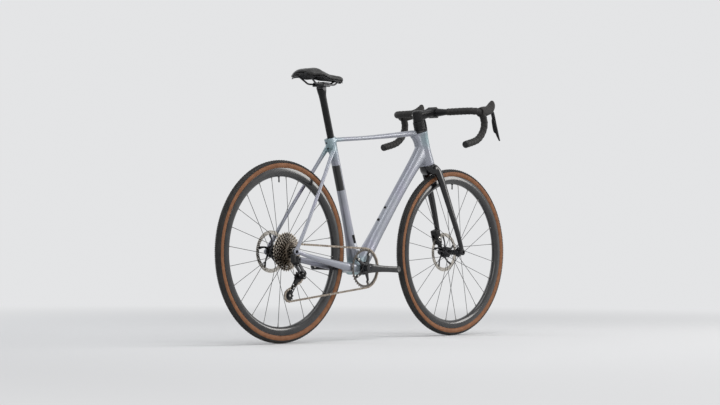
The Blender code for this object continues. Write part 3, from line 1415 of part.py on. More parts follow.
def chain_pins():
    """The chain's pins in order, and for each wheel the angle of the first pin that lies on it."""
    wheels = chain_wheels(CAGE_ANGLE)
    runs = chain_route(CAGE_ANGLE)
    wraps = wrap_angles(runs, wheels)
    pins, first_angles = [], [None] * len(wheels)
    distance, start = 0.0, 0.0
    for k, (centre, teeth, sense, y) in enumerate(wheels):
        incoming = runs[k - 1][0]
        arc_length = path_radius(teeth) * wraps[k]
        while distance < start + arc_length:
            direction = incoming + sense * (distance - start) / path_radius(teeth)
            out = direction - sense * math.pi / 2
            if first_angles[k] is None:
                first_angles[k] = out
            radius = pin_radius(teeth)
            pins.append(centre + Vector((radius * math.cos(out), y, radius * math.sin(out))))
            distance += CHAIN_PITCH
        start += arc_length
        angle, length = runs[k]
        ahead = Vector((math.cos(angle), 0, math.sin(angle)))
        leave = centre + path_radius(teeth) * sense * Vector((ahead.z, 0, -ahead.x))
        next_y = wheels[(k + 1) % len(wheels)][3]
        while distance < start + length - 1e-6:
            t = (distance - start) / length
            ease = t * t * (3 - 2 * t)
            pins.append(leave + (distance - start) * ahead + (y + (next_y - y) * ease) * LEFT)
            distance += CHAIN_PITCH
        start += length
    return pins[:CHAIN_LINKS], first_angles


def make_chain(pins):
    """Inner and outer plates in turn, joined at every pin by a roller, as one closed mesh."""
    bm = bmesh.new()
    rings = []
    count = len(pins)
    for k in range(count):
        start, end = pins[k], pins[(k + 1) % count]
        along = (end - start).normalized()
        up = along.cross(LEFT).normalized() * CHAIN_HALF_HEIGHT
        near, far = OUTER_PLATE if k % 2 else INNER_PLATE
        for share in (0.25, 0.75):
            middle = start.lerp(end, share)
            rings.append({
                side: [bm.verts.new(middle + side * y * LEFT + z * up)
                       for y, z in ((near, 1), (near, -1), (far, 0))]
                for side in (1, -1)
            })
    for k, ring in enumerate(rings):
        following = rings[(k + 1) % len(rings)]
        at_pin = k % 2 == 1
        for side in (1, -1):
            a, b = ring[side], following[side]
            for j in range(1 if at_pin else 0, 3):
                bm.faces.new((a[j], a[(j + 1) % 3], b[(j + 1) % 3], b[j]))
        if at_pin:
            for edge in (0, 1):
                bm.faces.new((ring[1][edge], following[1][edge], following[-1][edge], ring[-1][edge]))
            for end_ring in (ring, following):
                bm.faces.new((end_ring[1][0], end_ring[1][1], end_ring[-1][1], end_ring[-1][0]))
    return from_bmesh("chain", bm, CHAIN_STEEL, BB_CENTRE)


def toothed_outline(teeth, phase, full):
    """The outline of a toothed wheel: two points a tooth, or three where the chain runs on it."""
    root, tip = root_radius(teeth), pin_radius(teeth) + TOOTH_HEIGHT
    step = math.tau / teeth
    half_base = TOOTH_HALF_BASE / root
    points = []
    for k in range(teeth):
        middle = phase + k * step
        if full:
            places = ((middle - half_base, root), (middle, tip), (middle + half_base, root))
        else:
            places = ((middle, tip), (middle + step / 2, root))
        points += [(radius * math.cos(angle), radius * math.sin(angle)) for angle, radius in places]
    return points


def tooth_phase(first_pin_angle, teeth):
    return first_pin_angle + math.pi / teeth


CASSETTE_BORE = clear_of(FREEHUB_RADIUS - GAP, HUB_SIDES)
CASSETTE_CORE = ((0, 0.0142), (4, 0.0200), (7, 0.0290), (10, 0.0450))


def make_cassette(first_pin_angle):
    """Twelve sprockets on a stepped core."""
    half = SPROCKET_THICKNESS / 2
    outer = SMALLEST_SPROCKET_Y - half
    inner = SMALLEST_SPROCKET_Y + (len(CASSETTE_TEETH) - 1) * SPROCKET_PITCH + half
    # The profile runs down its outer side from the largest sprocket to the smallest
    profile = [(CASSETTE_BORE, inner - 0.0002)]
    profile.append((CASSETTE_CORE[-1][1], inner - 0.0002))
    for (first, radius), (_, smaller) in zip(CASSETTE_CORE[:0:-1], CASSETTE_CORE[-2::-1]):
        step_y = SMALLEST_SPROCKET_Y + first * SPROCKET_PITCH - half + 0.0004
        profile += [(radius, step_y), (smaller, step_y)]
    profile += [(CASSETTE_CORE[0][1], outer - 0.0018), (CASSETTE_BORE, outer - 0.0018)]
    core = turned("cassette", profile, REAR_AXLE, CHAIN_STEEL, steps=HUB_SIDES)
    for k, teeth in enumerate(CASSETTE_TEETH):
        in_use = k == SPROCKET_IN_USE
        phase = tooth_phase(first_pin_angle, teeth) if in_use else 0.3 * k
        hole = arc((0, 0), CASSETTE_BORE + 0.0015, 0, 360 - 45, 8)
        outlines = [toothed_outline(teeth, phase, in_use), hole]
        centre = REAR_AXLE + (SMALLEST_SPROCKET_Y + k * SPROCKET_PITCH) * LEFT
        join(core, flat_shape(f"sprocket_{teeth}", outlines, centre, SPROCKET_THICKNESS))
    return core


CHAINRING_INNER_RADIUS = 0.0585
CHAINRING_THICKNESS = 0.0018
SPIDER_ARMS = 5
BOLT_CIRCLE_RADIUS = 0.0550
BOLT_TAB_RADIUS = 0.0070
SPIDER_THICKNESS = 0.0050
CRANK_HUB_RADIUS = 0.0190
CRANK_END_RADIUS = 0.0125
CRANK_HUB_INNER = CHAINLINE + CHAINRING_THICKNESS / 2 + GAP


def make_chainring(first_pin_angle):
    """The chainring, with a bolt tab reaching in at each of the spider's arms."""
    inner = []
    share = 360 / SPIDER_ARMS
    for k in range(SPIDER_ARMS):
        middle = math.degrees(CRANK_ANGLE) + k * share
        tab = (BOLT_CIRCLE_RADIUS * math.cos(math.radians(middle)),
               BOLT_CIRCLE_RADIUS * math.sin(math.radians(middle)))
        inner += arc(tab, BOLT_TAB_RADIUS, middle + 260, middle + 100, 5)
        inner += arc((0, 0), CHAINRING_INNER_RADIUS, middle + 14, middle + share - 14, 5)
    outer = toothed_outline(CHAINRING_TEETH, tooth_phase(first_pin_angle, CHAINRING_TEETH), True)
    flat_shape("chainring", [outer, inner], BB_CENTRE - CHAINLINE * LEFT, CHAINRING_THICKNESS,
               DARK_ALLOY)


def crank_arm(name, direction, side, look=None):
    """An arm that tapers from the bottom bracket to the pedal, with the pedal's hole."""
    up = LEFT.cross(direction)
    outline = arc((0, 0), CRANK_HUB_RADIUS, 95, 265, 9)
    outline += arc((CRANK_LENGTH, 0), CRANK_END_RADIUS, -85, 85, 7)
    hole = arc((CRANK_LENGTH, 0), PEDAL_HOLE_RADIUS, 0, 315, 8)
    middle = Q_HALF - CRANK_ARM_THICKNESS / 2
    centre = BB_CENTRE + side * middle * LEFT
    return flat_shape(name, [outline, hole], centre, CRANK_ARM_THICKNESS, look, axis_up=-up)


def make_cranks():
    """The right arm carries the spindle and the spider, and the left arm is clamped on."""
    direction = Vector((math.cos(CRANK_ANGLE), 0, math.sin(CRANK_ANGLE)))
    right = crank_arm("right_crank", direction, -1, DARK_ALLOY)
    hub = rod("crank_hub", BB_CENTRE - CRANK_HUB_INNER * LEFT,
              BB_CENTRE - (Q_HALF - 0.003) * LEFT, CRANK_HUB_RADIUS - 0.0005, sides=BRACKET_SIDES)
    spindle = rod("crank_spindle", BB_CENTRE - (Q_HALF - 0.005) * LEFT,
                  BB_CENTRE + (Q_HALF - 0.001) * LEFT, SPINDLE_RADIUS, sides=BRACKET_SIDES)
    star = []
    share = 360 / SPIDER_ARMS
    for k in range(SPIDER_ARMS):
        middle = math.degrees(CRANK_ANGLE) + k * share
        tip = (BOLT_CIRCLE_RADIUS * math.cos(math.radians(middle)),
               BOLT_CIRCLE_RADIUS * math.sin(math.radians(middle)))
        star += arc(tip, BOLT_TAB_RADIUS - 0.0005, middle - 80, middle + 80, 5)
        star += arc((0, 0), CRANK_HUB_RADIUS + 0.004, middle + share / 2, middle + share / 2 + 1, 2)
    spider = flat_shape("crank_spider", [star],
                        BB_CENTRE - (CRANK_HUB_INNER + SPIDER_THICKNESS / 2) * LEFT,
                        SPIDER_THICKNESS)
    join(right, hub, spindle, spider)
    left = crank_arm("left_crank", -direction, 1, DARK_ALLOY)
    clamp = rod("spindle_space", BB_CENTRE + 0.05 * LEFT, BB_CENTRE + 0.09 * LEFT,
                SPINDLE_RADIUS + GAP, sides=BRACKET_SIDES)
    cut(left, clamp)


def make_drivetrain():
    pins, first_angles = chain_pins()
    make_chain(pins)
    make_chainring(first_angles[0])
    make_cranks()
    make_cassette(first_angles[1])
    for name, centre, angle in (
        ("guide_pulley", GUIDE_CENTRE, first_angles[2]),
        ("tension_pulley", TENSION_CENTRE, first_angles[3]),
    ):
        hole = arc((0, 0), clear_of(PULLEY_AXLE_RADIUS, PIN_SIDES), 0, 360 - 45, PIN_SIDES)
        outlines = [toothed_outline(PULLEY_TEETH, tooth_phase(angle, PULLEY_TEETH), True), hole]
        flat_shape(name, outlines, centre, PULLEY_THICKNESS, SATIN_BLACK)


PULLEY_AXLE_RADIUS = 0.0025
PULLEY_THICKNESS = 0.0018


# The rear derailleur

HANGER_BOSS_RADIUS = 0.0095
LINK_LENGTH = 0.040
LINK_DIRECTION = Vector((0.55, -0.12, -0.82)).normalized()
PIN_SLANT = Vector((0.74, 0.42, 0.50))
PIN_AXIS = (PIN_SLANT - PIN_SLANT.dot(LINK_DIRECTION) * LINK_DIRECTION).normalized()
INBOARD = PIN_AXIS.cross(LINK_DIRECTION)
OUTER_UPPER_PIN = from_rear_axle(0.0112, -0.0786, -0.0431)
LINK_SPACING = 0.0145
INNER_UPPER_PIN = OUTER_UPPER_PIN + LINK_SPACING * INBOARD
OUTER_LOWER_PIN = OUTER_UPPER_PIN + LINK_LENGTH * LINK_DIRECTION
INNER_LOWER_PIN = INNER_UPPER_PIN + LINK_LENGTH * LINK_DIRECTION
LINK_RADIUS = 0.0038
LINK_HALF_WIDTH = 0.0080
LINK_PIN_RADIUS = 0.0020
EAR_THICKNESS = 0.0027
KNUCKLE_RADIUS = 0.0120
KNUCKLE_INNER_Y = -(DROPOUT_OUTER + GAP)
KNUCKLE_OUTER_Y = -0.0980
CAGE_HALF_GAP = 0.0036
CAGE_PLATE = 0.0015
CAGE_OUTER_FACE = SPROCKET_Y - CAGE_HALF_GAP - CAGE_PLATE
CAGE_STUB_RADIUS = 0.0060
P_KNUCKLE_RADIUS = 0.0105
P_KNUCKLE_OUTER_Y = -0.0775


def in_link_plane(origin, along, inboard, beside=0.0):
    """A point from a link's pin: along the link, towards the wheel and along the pin."""
    return origin + along * LINK_DIRECTION + inboard * INBOARD + beside * PIN_AXIS


def make_hanger():
    """The plate between the hub and the right dropout that reaches down to the derailleur."""
    plate = rod("derailleur_hanger", REAR_AXLE - (HANGER_FACE + HANGER_THICKNESS) * LEFT,
                REAR_AXLE - HANGER_FACE * LEFT, DROPOUT_RADIUS - 0.001, DARK_ALLOY, sides=16,
                origin=REAR_AXLE)
    middle = (HANGER_FACE + HANGER_THICKNESS / 2) * LEFT
    leg = loft("hanger_leg", [
        (REAR_AXLE + Vector((-0.001, 0, -0.002)) - middle, HANGER_THICKNESS / 2, 0.010),
        (HANGER_BOLT - middle, HANGER_THICKNESS / 2, 0.0085),
    ], sides=4, power=2.0)
    boss = rod("hanger_boss", HANGER_BOLT - (HANGER_FACE - 0.0005) * LEFT,
               HANGER_BOLT - (DROPOUT_OUTER - GAP) * LEFT, HANGER_BOSS_RADIUS, sides=16)
    bore = rod("hanger_axle_bore", REAR_AXLE - 0.06 * LEFT, REAR_AXLE - 0.09 * LEFT,
               THRU_AXLE_RADIUS + GAP, sides=HUB_SIDES)
    join(plate, leg, boss)
    cut(plate, bore)


def link_pins(letter, outer, inner):
    """Two pins through the links, each reaching into the ears on both sides."""
    reach = LINK_HALF_WIDTH + GAP + EAR_THICKNESS / 2
    return [
        rod(f"{letter}_pin_{name}", pin - reach * PIN_AXIS, pin + reach * PIN_AXIS,
            LINK_PIN_RADIUS, sides=PIN_SIDES)
        for name, pin in (("outer", outer), ("inner", inner))
    ]


def ears(letter, outline, origin):
    """The pair of plates outside the links, from points (along the link, inboard)."""
    offset = LINK_HALF_WIDTH + GAP + EAR_THICKNESS / 2
    return [
        flat_shape(f"{letter}_ear_{name}", [outline], origin + side * offset * PIN_AXIS,
                   EAR_THICKNESS, axis_up=INBOARD, normal=PIN_AXIS)
        for name, side in (("front", 1), ("rear", -1))
    ]


def make_links():
    """The parallelogram's two links, with eyes round their pins."""
    for name, top, foot in (
        ("outer_link", OUTER_UPPER_PIN, OUTER_LOWER_PIN),
        ("inner_link", INNER_UPPER_PIN, INNER_LOWER_PIN),
    ):
        outline = arc((0, 0), LINK_RADIUS, 90, 270, 6)
        outline += arc((LINK_LENGTH, 0), LINK_RADIUS, -90, 90, 6)
        link = flat_shape(name, [outline], top, 2 * LINK_HALF_WIDTH, DARK_ALLOY,
                          axis_up=INBOARD, normal=PIN_AXIS)
        bores = [
            rod(f"{name}_bore_{k}", pin - 0.02 * PIN_AXIS, pin + 0.02 * PIN_AXIS,
                clear_of(LINK_PIN_RADIUS, PIN_SIDES), sides=PIN_SIDES)
            for k, pin in enumerate((top, foot))
        ]
        cut(link, *bores)


def make_knuckles():
    """The upper knuckle on the hanger, and the lower one that the cage turns in."""
    spacing = LINK_SPACING
    upper = rod("b_knuckle", HANGER_BOLT + KNUCKLE_INNER_Y * LEFT,
                HANGER_BOLT + KNUCKLE_OUTER_Y * LEFT, KNUCKLE_RADIUS, SATIN_BLACK, sides=16,
                origin=HANGER_BOLT)
    outline = [(0.0045, -0.0015), (0.0035, -0.0050), (-0.0150, -0.0065), (-0.0150, spacing + 0.0045),
               (0.0015, spacing + 0.0050), (0.0035, spacing + 0.0015)]
    bridge = block("b_bridge", in_link_plane(OUTER_UPPER_PIN, -0.0105, spacing / 2 - 0.001),
                   (0.0090, spacing + 0.0110, 2 * (LINK_HALF_WIDTH + GAP + EAR_THICKNESS)),
                   rotation=facing(PIN_AXIS, LINK_DIRECTION))
    arm = rod("b_arm", in_link_plane(OUTER_UPPER_PIN, -0.0110, 0.001),
              HANGER_BOLT + (KNUCKLE_INNER_Y - 0.010) * LEFT, 0.0080, sides=10)
    boss_space = rod("hanger_boss_space", HANGER_BOLT + KNUCKLE_INNER_Y * LEFT,
                     HANGER_BOLT - 0.055 * LEFT, HANGER_BOSS_RADIUS + 0.0010, sides=16)
    join(upper, *ears("b", outline, OUTER_UPPER_PIN), bridge, arm,
         *link_pins("b", OUTER_UPPER_PIN, INNER_UPPER_PIN))
    cut(upper, boss_space)

    housing_inner = CAGE_OUTER_FACE - GAP
    lower = rod("p_knuckle", CAGE_PIVOT + housing_inner * LEFT,
                CAGE_PIVOT + P_KNUCKLE_OUTER_Y * LEFT, P_KNUCKLE_RADIUS, SATIN_BLACK, sides=16,
                origin=OUTER_LOWER_PIN)
    outline = [(-0.0045, spacing - 0.001), (-0.0035, spacing + 0.0050), (0.0120, spacing + 0.0060),
               (0.0140, -0.0030), (0.0030, -0.0050), (-0.0040, -0.0025)]
    bridge = block("p_bridge", in_link_plane(OUTER_LOWER_PIN, 0.0100, spacing / 2),
                   (0.0080, spacing + 0.0070, 2 * (LINK_HALF_WIDTH + GAP + EAR_THICKNESS)),
                   rotation=facing(PIN_AXIS, LINK_DIRECTION))
    bore = rod("cage_stub_bore", CAGE_PIVOT - 0.03 * LEFT, CAGE_PIVOT + (P_KNUCKLE_OUTER_Y + 0.003) * LEFT,
               clear_of(CAGE_STUB_RADIUS, HUB_SIDES), sides=HUB_SIDES)
    join(lower, *ears("p", outline, OUTER_LOWER_PIN), bridge,
         *link_pins("p", OUTER_LOWER_PIN, INNER_LOWER_PIN))
    cut(lower, bore)


def make_cage():
    """Two plates joined by the pulleys' axles, on a stub that turns in the lower knuckle."""
    guide, tension = GUIDE_CENTRE, TENSION_CENTRE
    down = (tension - guide).normalized()
    length = (tension - guide).length
    across = LEFT.cross(down)
    outline = arc((0, 0), 0.0125, 90, 270, 7)
    outline += [(0.030, -0.0075), (length - 0.016, -0.0070)]
    outline += arc((length, 0), 0.0110, -80, 80, 6)
    outline += [(length - 0.016, 0.0070), (0.030, 0.0075)]
    plates = []
    for side in (1, -1):
        y = side * (CAGE_HALF_GAP + CAGE_PLATE / 2)
        look = DARK_ALLOY if side < 0 else None
        name = "cage" if side < 0 else "cage_inner_plate"
        plates.append(flat_shape(name, [outline], guide + y * LEFT, CAGE_PLATE, look,
                                 axis_up=-across))
    inner, outer = plates
    reach = CAGE_HALF_GAP + CAGE_PLATE / 2
    axles = [
        rod(f"pulley_axle_{k}", centre - reach * LEFT, centre + reach * LEFT, PULLEY_AXLE_RADIUS,
            sides=PIN_SIDES)
        for k, centre in enumerate((guide, tension))
    ]
    stub = rod("cage_stub", CAGE_PIVOT + (CAGE_OUTER_FACE + CAGE_PLATE / 2) * LEFT,
               CAGE_PIVOT + (P_KNUCKLE_OUTER_Y + 0.005) * LEFT, CAGE_STUB_RADIUS, sides=HUB_SIDES)
    join(outer, inner, stub, *axles)


def make_derailleur():
    make_hanger()
    make_links()
    make_knuckles()
    make_cage()
    block("battery", HANGER_BOLT + Vector((-0.0215, -0.0890, 0.004)), (0.0150, 0.0180, 0.0320),
          SATIN_BLACK, bevel=0.002, rotation=Matrix.Rotation(math.radians(-12), 3, "Y"))


make_frame()
make_frame_fittings()
make_fork()
make_headset_stack()
make_handlebar()
for side, letter in ((1, "left"), (-1, "right")):
    make_hood(side, letter)
    make_brake_lever(side, letter)
    make_shift_paddle(side, letter)
make_seatpost()
make_saddle_clamp()
make_saddle()
make_wheels()
make_brakes()
make_drivetrain()
make_derailleur()
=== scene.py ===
from math import atan2, copysign, cos, dist, exp, hypot, pi, radians, sin, sqrt, tau

import bmesh
import bpy
from mathutils import Matrix, Vector


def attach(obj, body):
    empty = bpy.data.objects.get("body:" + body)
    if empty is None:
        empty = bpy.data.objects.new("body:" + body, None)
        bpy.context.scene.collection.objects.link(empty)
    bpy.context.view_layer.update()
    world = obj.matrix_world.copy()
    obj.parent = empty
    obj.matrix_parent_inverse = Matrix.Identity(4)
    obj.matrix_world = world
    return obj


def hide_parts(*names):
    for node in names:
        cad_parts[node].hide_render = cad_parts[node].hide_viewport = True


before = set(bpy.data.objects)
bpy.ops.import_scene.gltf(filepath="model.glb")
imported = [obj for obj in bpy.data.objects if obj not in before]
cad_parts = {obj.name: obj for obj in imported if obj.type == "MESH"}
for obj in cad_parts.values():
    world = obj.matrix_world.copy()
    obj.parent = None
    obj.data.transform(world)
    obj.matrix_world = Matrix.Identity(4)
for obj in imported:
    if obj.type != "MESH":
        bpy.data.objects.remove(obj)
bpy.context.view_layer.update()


# The camera stands low behind the right rear wheel, about seven metres and a half from the bike.
# Its long lens keeps the wheels' ellipses as flat as in the photograph.

def placed(name, data):
    """Puts a new object with this data in the scene."""
    made = bpy.data.objects.new(name, data)
    bpy.context.scene.collection.objects.link(made)
    return made


CAMERA_PLACE = (-5.769, -5.010, 0.365)
CAMERA_TURN, CAMERA_TILT, CAMERA_ROLL = radians(48.70), radians(1.304), radians(0.359)
lens = bpy.data.cameras.new("camera")
lens.sensor_width = 36.0
lens.lens = 96.77
camera = placed("camera", lens)
camera.matrix_world = (
    Matrix.Translation(CAMERA_PLACE) @ Matrix.Rotation(-CAMERA_TURN, 4, "Z")
    @ Matrix.Rotation(pi / 2 + CAMERA_TILT, 4, "X") @ Matrix.Rotation(CAMERA_ROLL, 4, "Z"))
bpy.context.scene.camera = camera
bpy.context.scene.view_settings.view_transform = "Standard"


# The studio is a pale floor under four large soft boxes, that fades into a backdrop as pale.
# The boxes lie along the bike so that its tubes and the black fork take long, clean highlights.

def node(made, kind, inputs=None, **settings):
    """Adds a shader node; an input is a plain value or another node's output."""
    new = made.node_tree.nodes.new("ShaderNode" + kind)
    for key, value in settings.items():
        setattr(new, key, value)
    for key, value in (inputs or {}).items():
        if isinstance(value, bpy.types.NodeSocket):
            made.node_tree.links.new(value, new.inputs[key])
        else:
            new.inputs[key].default_value = value
    return new


def maths(made, operation, *values, **settings):
    return node(made, "Math", dict(enumerate(values)), operation=operation, **settings).outputs[0]


def on_object(made):
    return node(made, "TexCoord").outputs["Object"]


def noise(made, scale, detail=3.0, stretch=(1, 1, 1), distortion=0.0):
    """Noise fixed to the object, which can be drawn out along an axis."""
    mapped = node(made, "Mapping", {"Vector": on_object(made), "Scale": stretch}).outputs["Vector"]
    return node(made, "TexNoise", {"Vector": mapped, "Scale": scale, "Detail": detail,
                                   "Distortion": distortion}).outputs["Fac"]


def waves(made, scale, direction, distortion=0.0):
    """Even bands across an axis of the object."""
    values = {"Vector": on_object(made), "Scale": scale, "Distortion": distortion}
    return node(made, "TexWave", values, bands_direction=direction).outputs["Fac"]


def ramp(made, pattern, *stops):
    """Turns a pattern into colours, at (place, colour) stops."""
    made_ramp = node(made, "ValToRGB", {"Fac": pattern})
    elements = made_ramp.color_ramp.elements
    for element, (place, colour) in zip(elements, stops):
        element.position = place
        element.color = (*colour, 1)
    for place, colour in stops[2:]:
        elements.new(place).color = (*colour, 1)
    return made_ramp.outputs["Color"]


def between(made, pattern, start, end, low=0.0, high=1.0, smooth=False):
    """Maps a pattern's span from start to end on to this one."""
    return node(made, "MapRange", {
        "Value": pattern, "From Min": start, "From Max": end, "To Min": low, "To Max": high,
    }, interpolation_type="SMOOTHSTEP" if smooth else "LINEAR").outputs["Result"]


def into(made, socket, value):
    """Gives an input of the surface's shader a value or another node's output."""
    target = made.node_tree.nodes["Principled BSDF"].inputs[socket]
    if isinstance(value, bpy.types.NodeSocket):
        made.node_tree.links.new(value, target)
    else:
        target.default_value = value


def gloss(made, pattern, low, high):
    """Lets the roughness follow a pattern's middle values."""
    into(made, "Roughness", between(made, pattern, 0.3, 0.7, low, high))


def raised(made, pattern, height, strength, over=None):
    """Bump of this height in metres, over another bump if there is one."""
    inputs = {"Height": pattern, "Distance": height, "Strength": strength}
    if over is not None:
        inputs["Normal"] = over
    bump = node(made, "Bump", inputs).outputs["Normal"]
    into(made, "Normal", bump)
    return bump


def finish(name, colour, roughness, metallic=0.0, coat=0.0, coat_roughness=0.05,
           specular=0.5, tones=(), shine=(), grain=()):
    """A surface: tones are a noise's scale and detail with a ramp's stops, shine a scale with
    the lowest and highest roughness, and grain a scale with the height and strength of its bump.
    """
    made = bpy.data.materials.new(name)
    made.use_nodes = True
    made.diffuse_color = (*colour, 1)
    for socket, value in (("Base Color", (*colour, 1)), ("Roughness", roughness),
                          ("Metallic", metallic), ("Coat Weight", coat),
                          ("Coat Roughness", coat_roughness), ("Specular IOR Level", specular)):
        into(made, socket, value)
    if tones:
        into(made, "Base Color", ramp(made, noise(made, *tones[:2]), *tones[2:]))
    if shine:
        gloss(made, noise(made, shine[0]), *shine[1:])
    if grain:
        raised(made, noise(made, grain[0]), *grain[1:])
    return made


def in_view(made, weight):
    """This weight for rays that show the backdrop, straight, in a gloss or through glass."""
    rays = node(made, "LightPath").outputs
    straight = maths(made, "ADD", rays["Is Camera Ray"], rays["Is Glossy Ray"])
    every = maths(made, "ADD", straight, rays["Is Transmission Ray"], use_clamp=True)
    return maths(made, "MULTIPLY", every, weight)


def meshed(name, bm, sharp=35):
    """A bmesh as a mesh, smooth but for edges sharper than this many degrees."""
    mesh = bpy.data.meshes.new(name)
    bm.to_mesh(mesh)
    bm.free()
    mesh.shade_smooth()
    mesh.set_sharp_from_angle(angle=radians(sharp))
    return mesh


BACKDROP = (0.775, 0.780, 0.790)
floor_look = finish("studio_floor", BACKDROP, 0.60, specular=0.0)
distance = node(floor_look, "VectorMath", {0: on_object(floor_look)}, operation="LENGTH")
far_off = between(floor_look, distance.outputs["Value"], 1.3, 4.6, smooth=True)
into(floor_look, "Base Color", ramp(floor_look, far_off, (0, BACKDROP), (1, (0, 0, 0))))
into(floor_look, "Emission Color", (*BACKDROP, 1))
into(floor_look, "Emission Strength", in_view(floor_look, far_off))
bm = bmesh.new()
bmesh.ops.create_circle(bm, cap_ends=True, segments=64, radius=60.0)
floor = placed("studio_floor", meshed("studio_floor", bm))
floor.data.materials.append(floor_look)

world = bpy.data.worlds.new("studio")
world.use_nodes = True
sky = world.node_tree.nodes["Background"].inputs
sky["Color"].default_value = (*BACKDROP, 1)
world.node_tree.links.new(maths(world, "ADD", in_view(world, 0.40), 0.60), sky["Strength"])
bpy.context.scene.world = world

MIDDLE = Vector((0.0, 0.0, 0.55))
for name, place, width, height, power, warmth in (
        ("overhead_box", (-0.3, -0.8, 3.6), 3.2, 2.0, 48, (1, 1, 1)),
        ("right_box", (-1.6, -4.2, 2.2), 2.6, 1.8, 30, (1.0, 0.985, 0.96)),
        ("front_box", (3.4, -2.6, 2.0), 1.2, 2.2, 56, (1.0, 0.98, 0.95)),
        ("back_box", (-1.0, 4.0, 2.6), 3.0, 1.6, 34, (0.95, 0.975, 1.0))):
    light = bpy.data.lights.new(name, "AREA")
    light.shape = "RECTANGLE"
    light.size, light.size_y = width, height
    light.energy = power
    light.color = warmth
    lamp = placed(name, light)
    lamp.location = place
    lamp.rotation_euler = (MIDDLE - Vector(place)).to_track_quat("-Z", "Y").to_euler()


# The tyres are 33 mm cyclocross tyres with a tan cotton casing and a black rubber tread.
# The casing is one turned skin, the tread a band moulded over it, and its small knobs stand
# in staggered rows that are repeated round the wheel.

def shown(name, shape, made, body, *replaced, sharp=35, slot=None):
    """Puts a mesh or bmesh, drawn in millimetres, in the scene as a piece of a body; it stands
    for the CAD nodes named last.
    """
    mesh = meshed(name, shape, sharp) if isinstance(shape, bmesh.types.BMesh) else shape
    mesh.transform(Matrix.Scale(0.001, 4))
    mesh.materials.append(made)
    piece = placed(name, mesh)
    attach(piece, body)
    if replaced:
        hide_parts(*replaced)
    return piece


def spun(bm, profile, centre, axis, steps):
    """Turns a profile of (radius, along) points round an axis; it is closed unless it starts
    on the axis.
    """
    before = set(bm.faces)
    axis = Vector(axis).normalized()
    out = axis.orthogonal().normalized()
    ring = [bm.verts.new(Vector(centre) + r * out + along * axis) for r, along in profile]
    pairs = list(zip(ring, ring[1:])) + ([(ring[-1], ring[0])] if profile[0][0] else [])
    edges = [bm.edges.new(pair) for pair in pairs]
    bmesh.ops.spin(bm, geom=ring + edges, cent=centre, axis=axis, angle=tau, steps=steps,
                   use_merge=True)
    verts = list({v for f in bm.faces if f not in before for v in f.verts})
    bmesh.ops.remove_doubles(bm, verts=verts, dist=0.001)
    bmesh.ops.recalc_face_normals(bm, faces=[f for f in bm.faces if f not in before])


def turned(name, profile, centre, axis, steps, *piece, **more):
    """A piece that is a single turned shape."""
    bm = bmesh.new()
    spun(bm, profile, centre, axis, steps)
    shown(name, bm, *piece, **more)


LEFT = Vector((0, 1, 0))
REAR_AXLE = Vector((-510, 0, 344))
FRONT_AXLE = Vector((510, 0, 344))
WHEELS = {"rear": REAR_AXLE, "front": FRONT_AXLE}
CASING_CENTRE = 325.5
CASING_RADIUS = 15.6
CASING_THICKNESS = 1.2
RIM_EDGE_ANGLE = 137
TREAD_EDGE_ANGLE = 62
TREAD_BASE = 0.8
KNOB_FOOT = 0.2
KNOB_TOP = 2.9
KNOB_PITCHES = 150
# Each row of knobs: angle from the tyre's crown, length, width and half steps on
KNOB_ROWS = ((6.5, 6.2, 2.6, 0), (20, 4.6, 3.4, 1), (34, 4.2, 3.6, 0), (48, 4.6, 3.2, 1),
             (59, 5.4, 2.6, 0))


def casing_point(angle, height=0.0):
    """(radius from the axle, distance from the middle) at an angle from the crown."""
    radius = CASING_RADIUS + height
    return CASING_CENTRE + radius * cos(radians(angle)), radius * sin(radians(angle))


tan_casing = finish("tan_casing", (0.25, 0.105, 0.045), 0.58, specular=0.3, tones=(
    55, 4, (0.30, (0.195, 0.076, 0.030)), (0.70, (0.290, 0.128, 0.058))))
raised(tan_casing, waves(tan_casing, 700, "DIAGONAL", 1.5), 0.00008, 0.5)
tread_rubber = finish(
    "tread_rubber", (0.016, 0.015, 0.014), 0.72, specular=0.4,
    tones=(18, 6, (0.35, (0.012, 0.0115, 0.011)), (0.75, (0.036, 0.033, 0.030))),
    shine=(90, 0.48, 0.72), grain=(1400, 0.00005, 0.6))

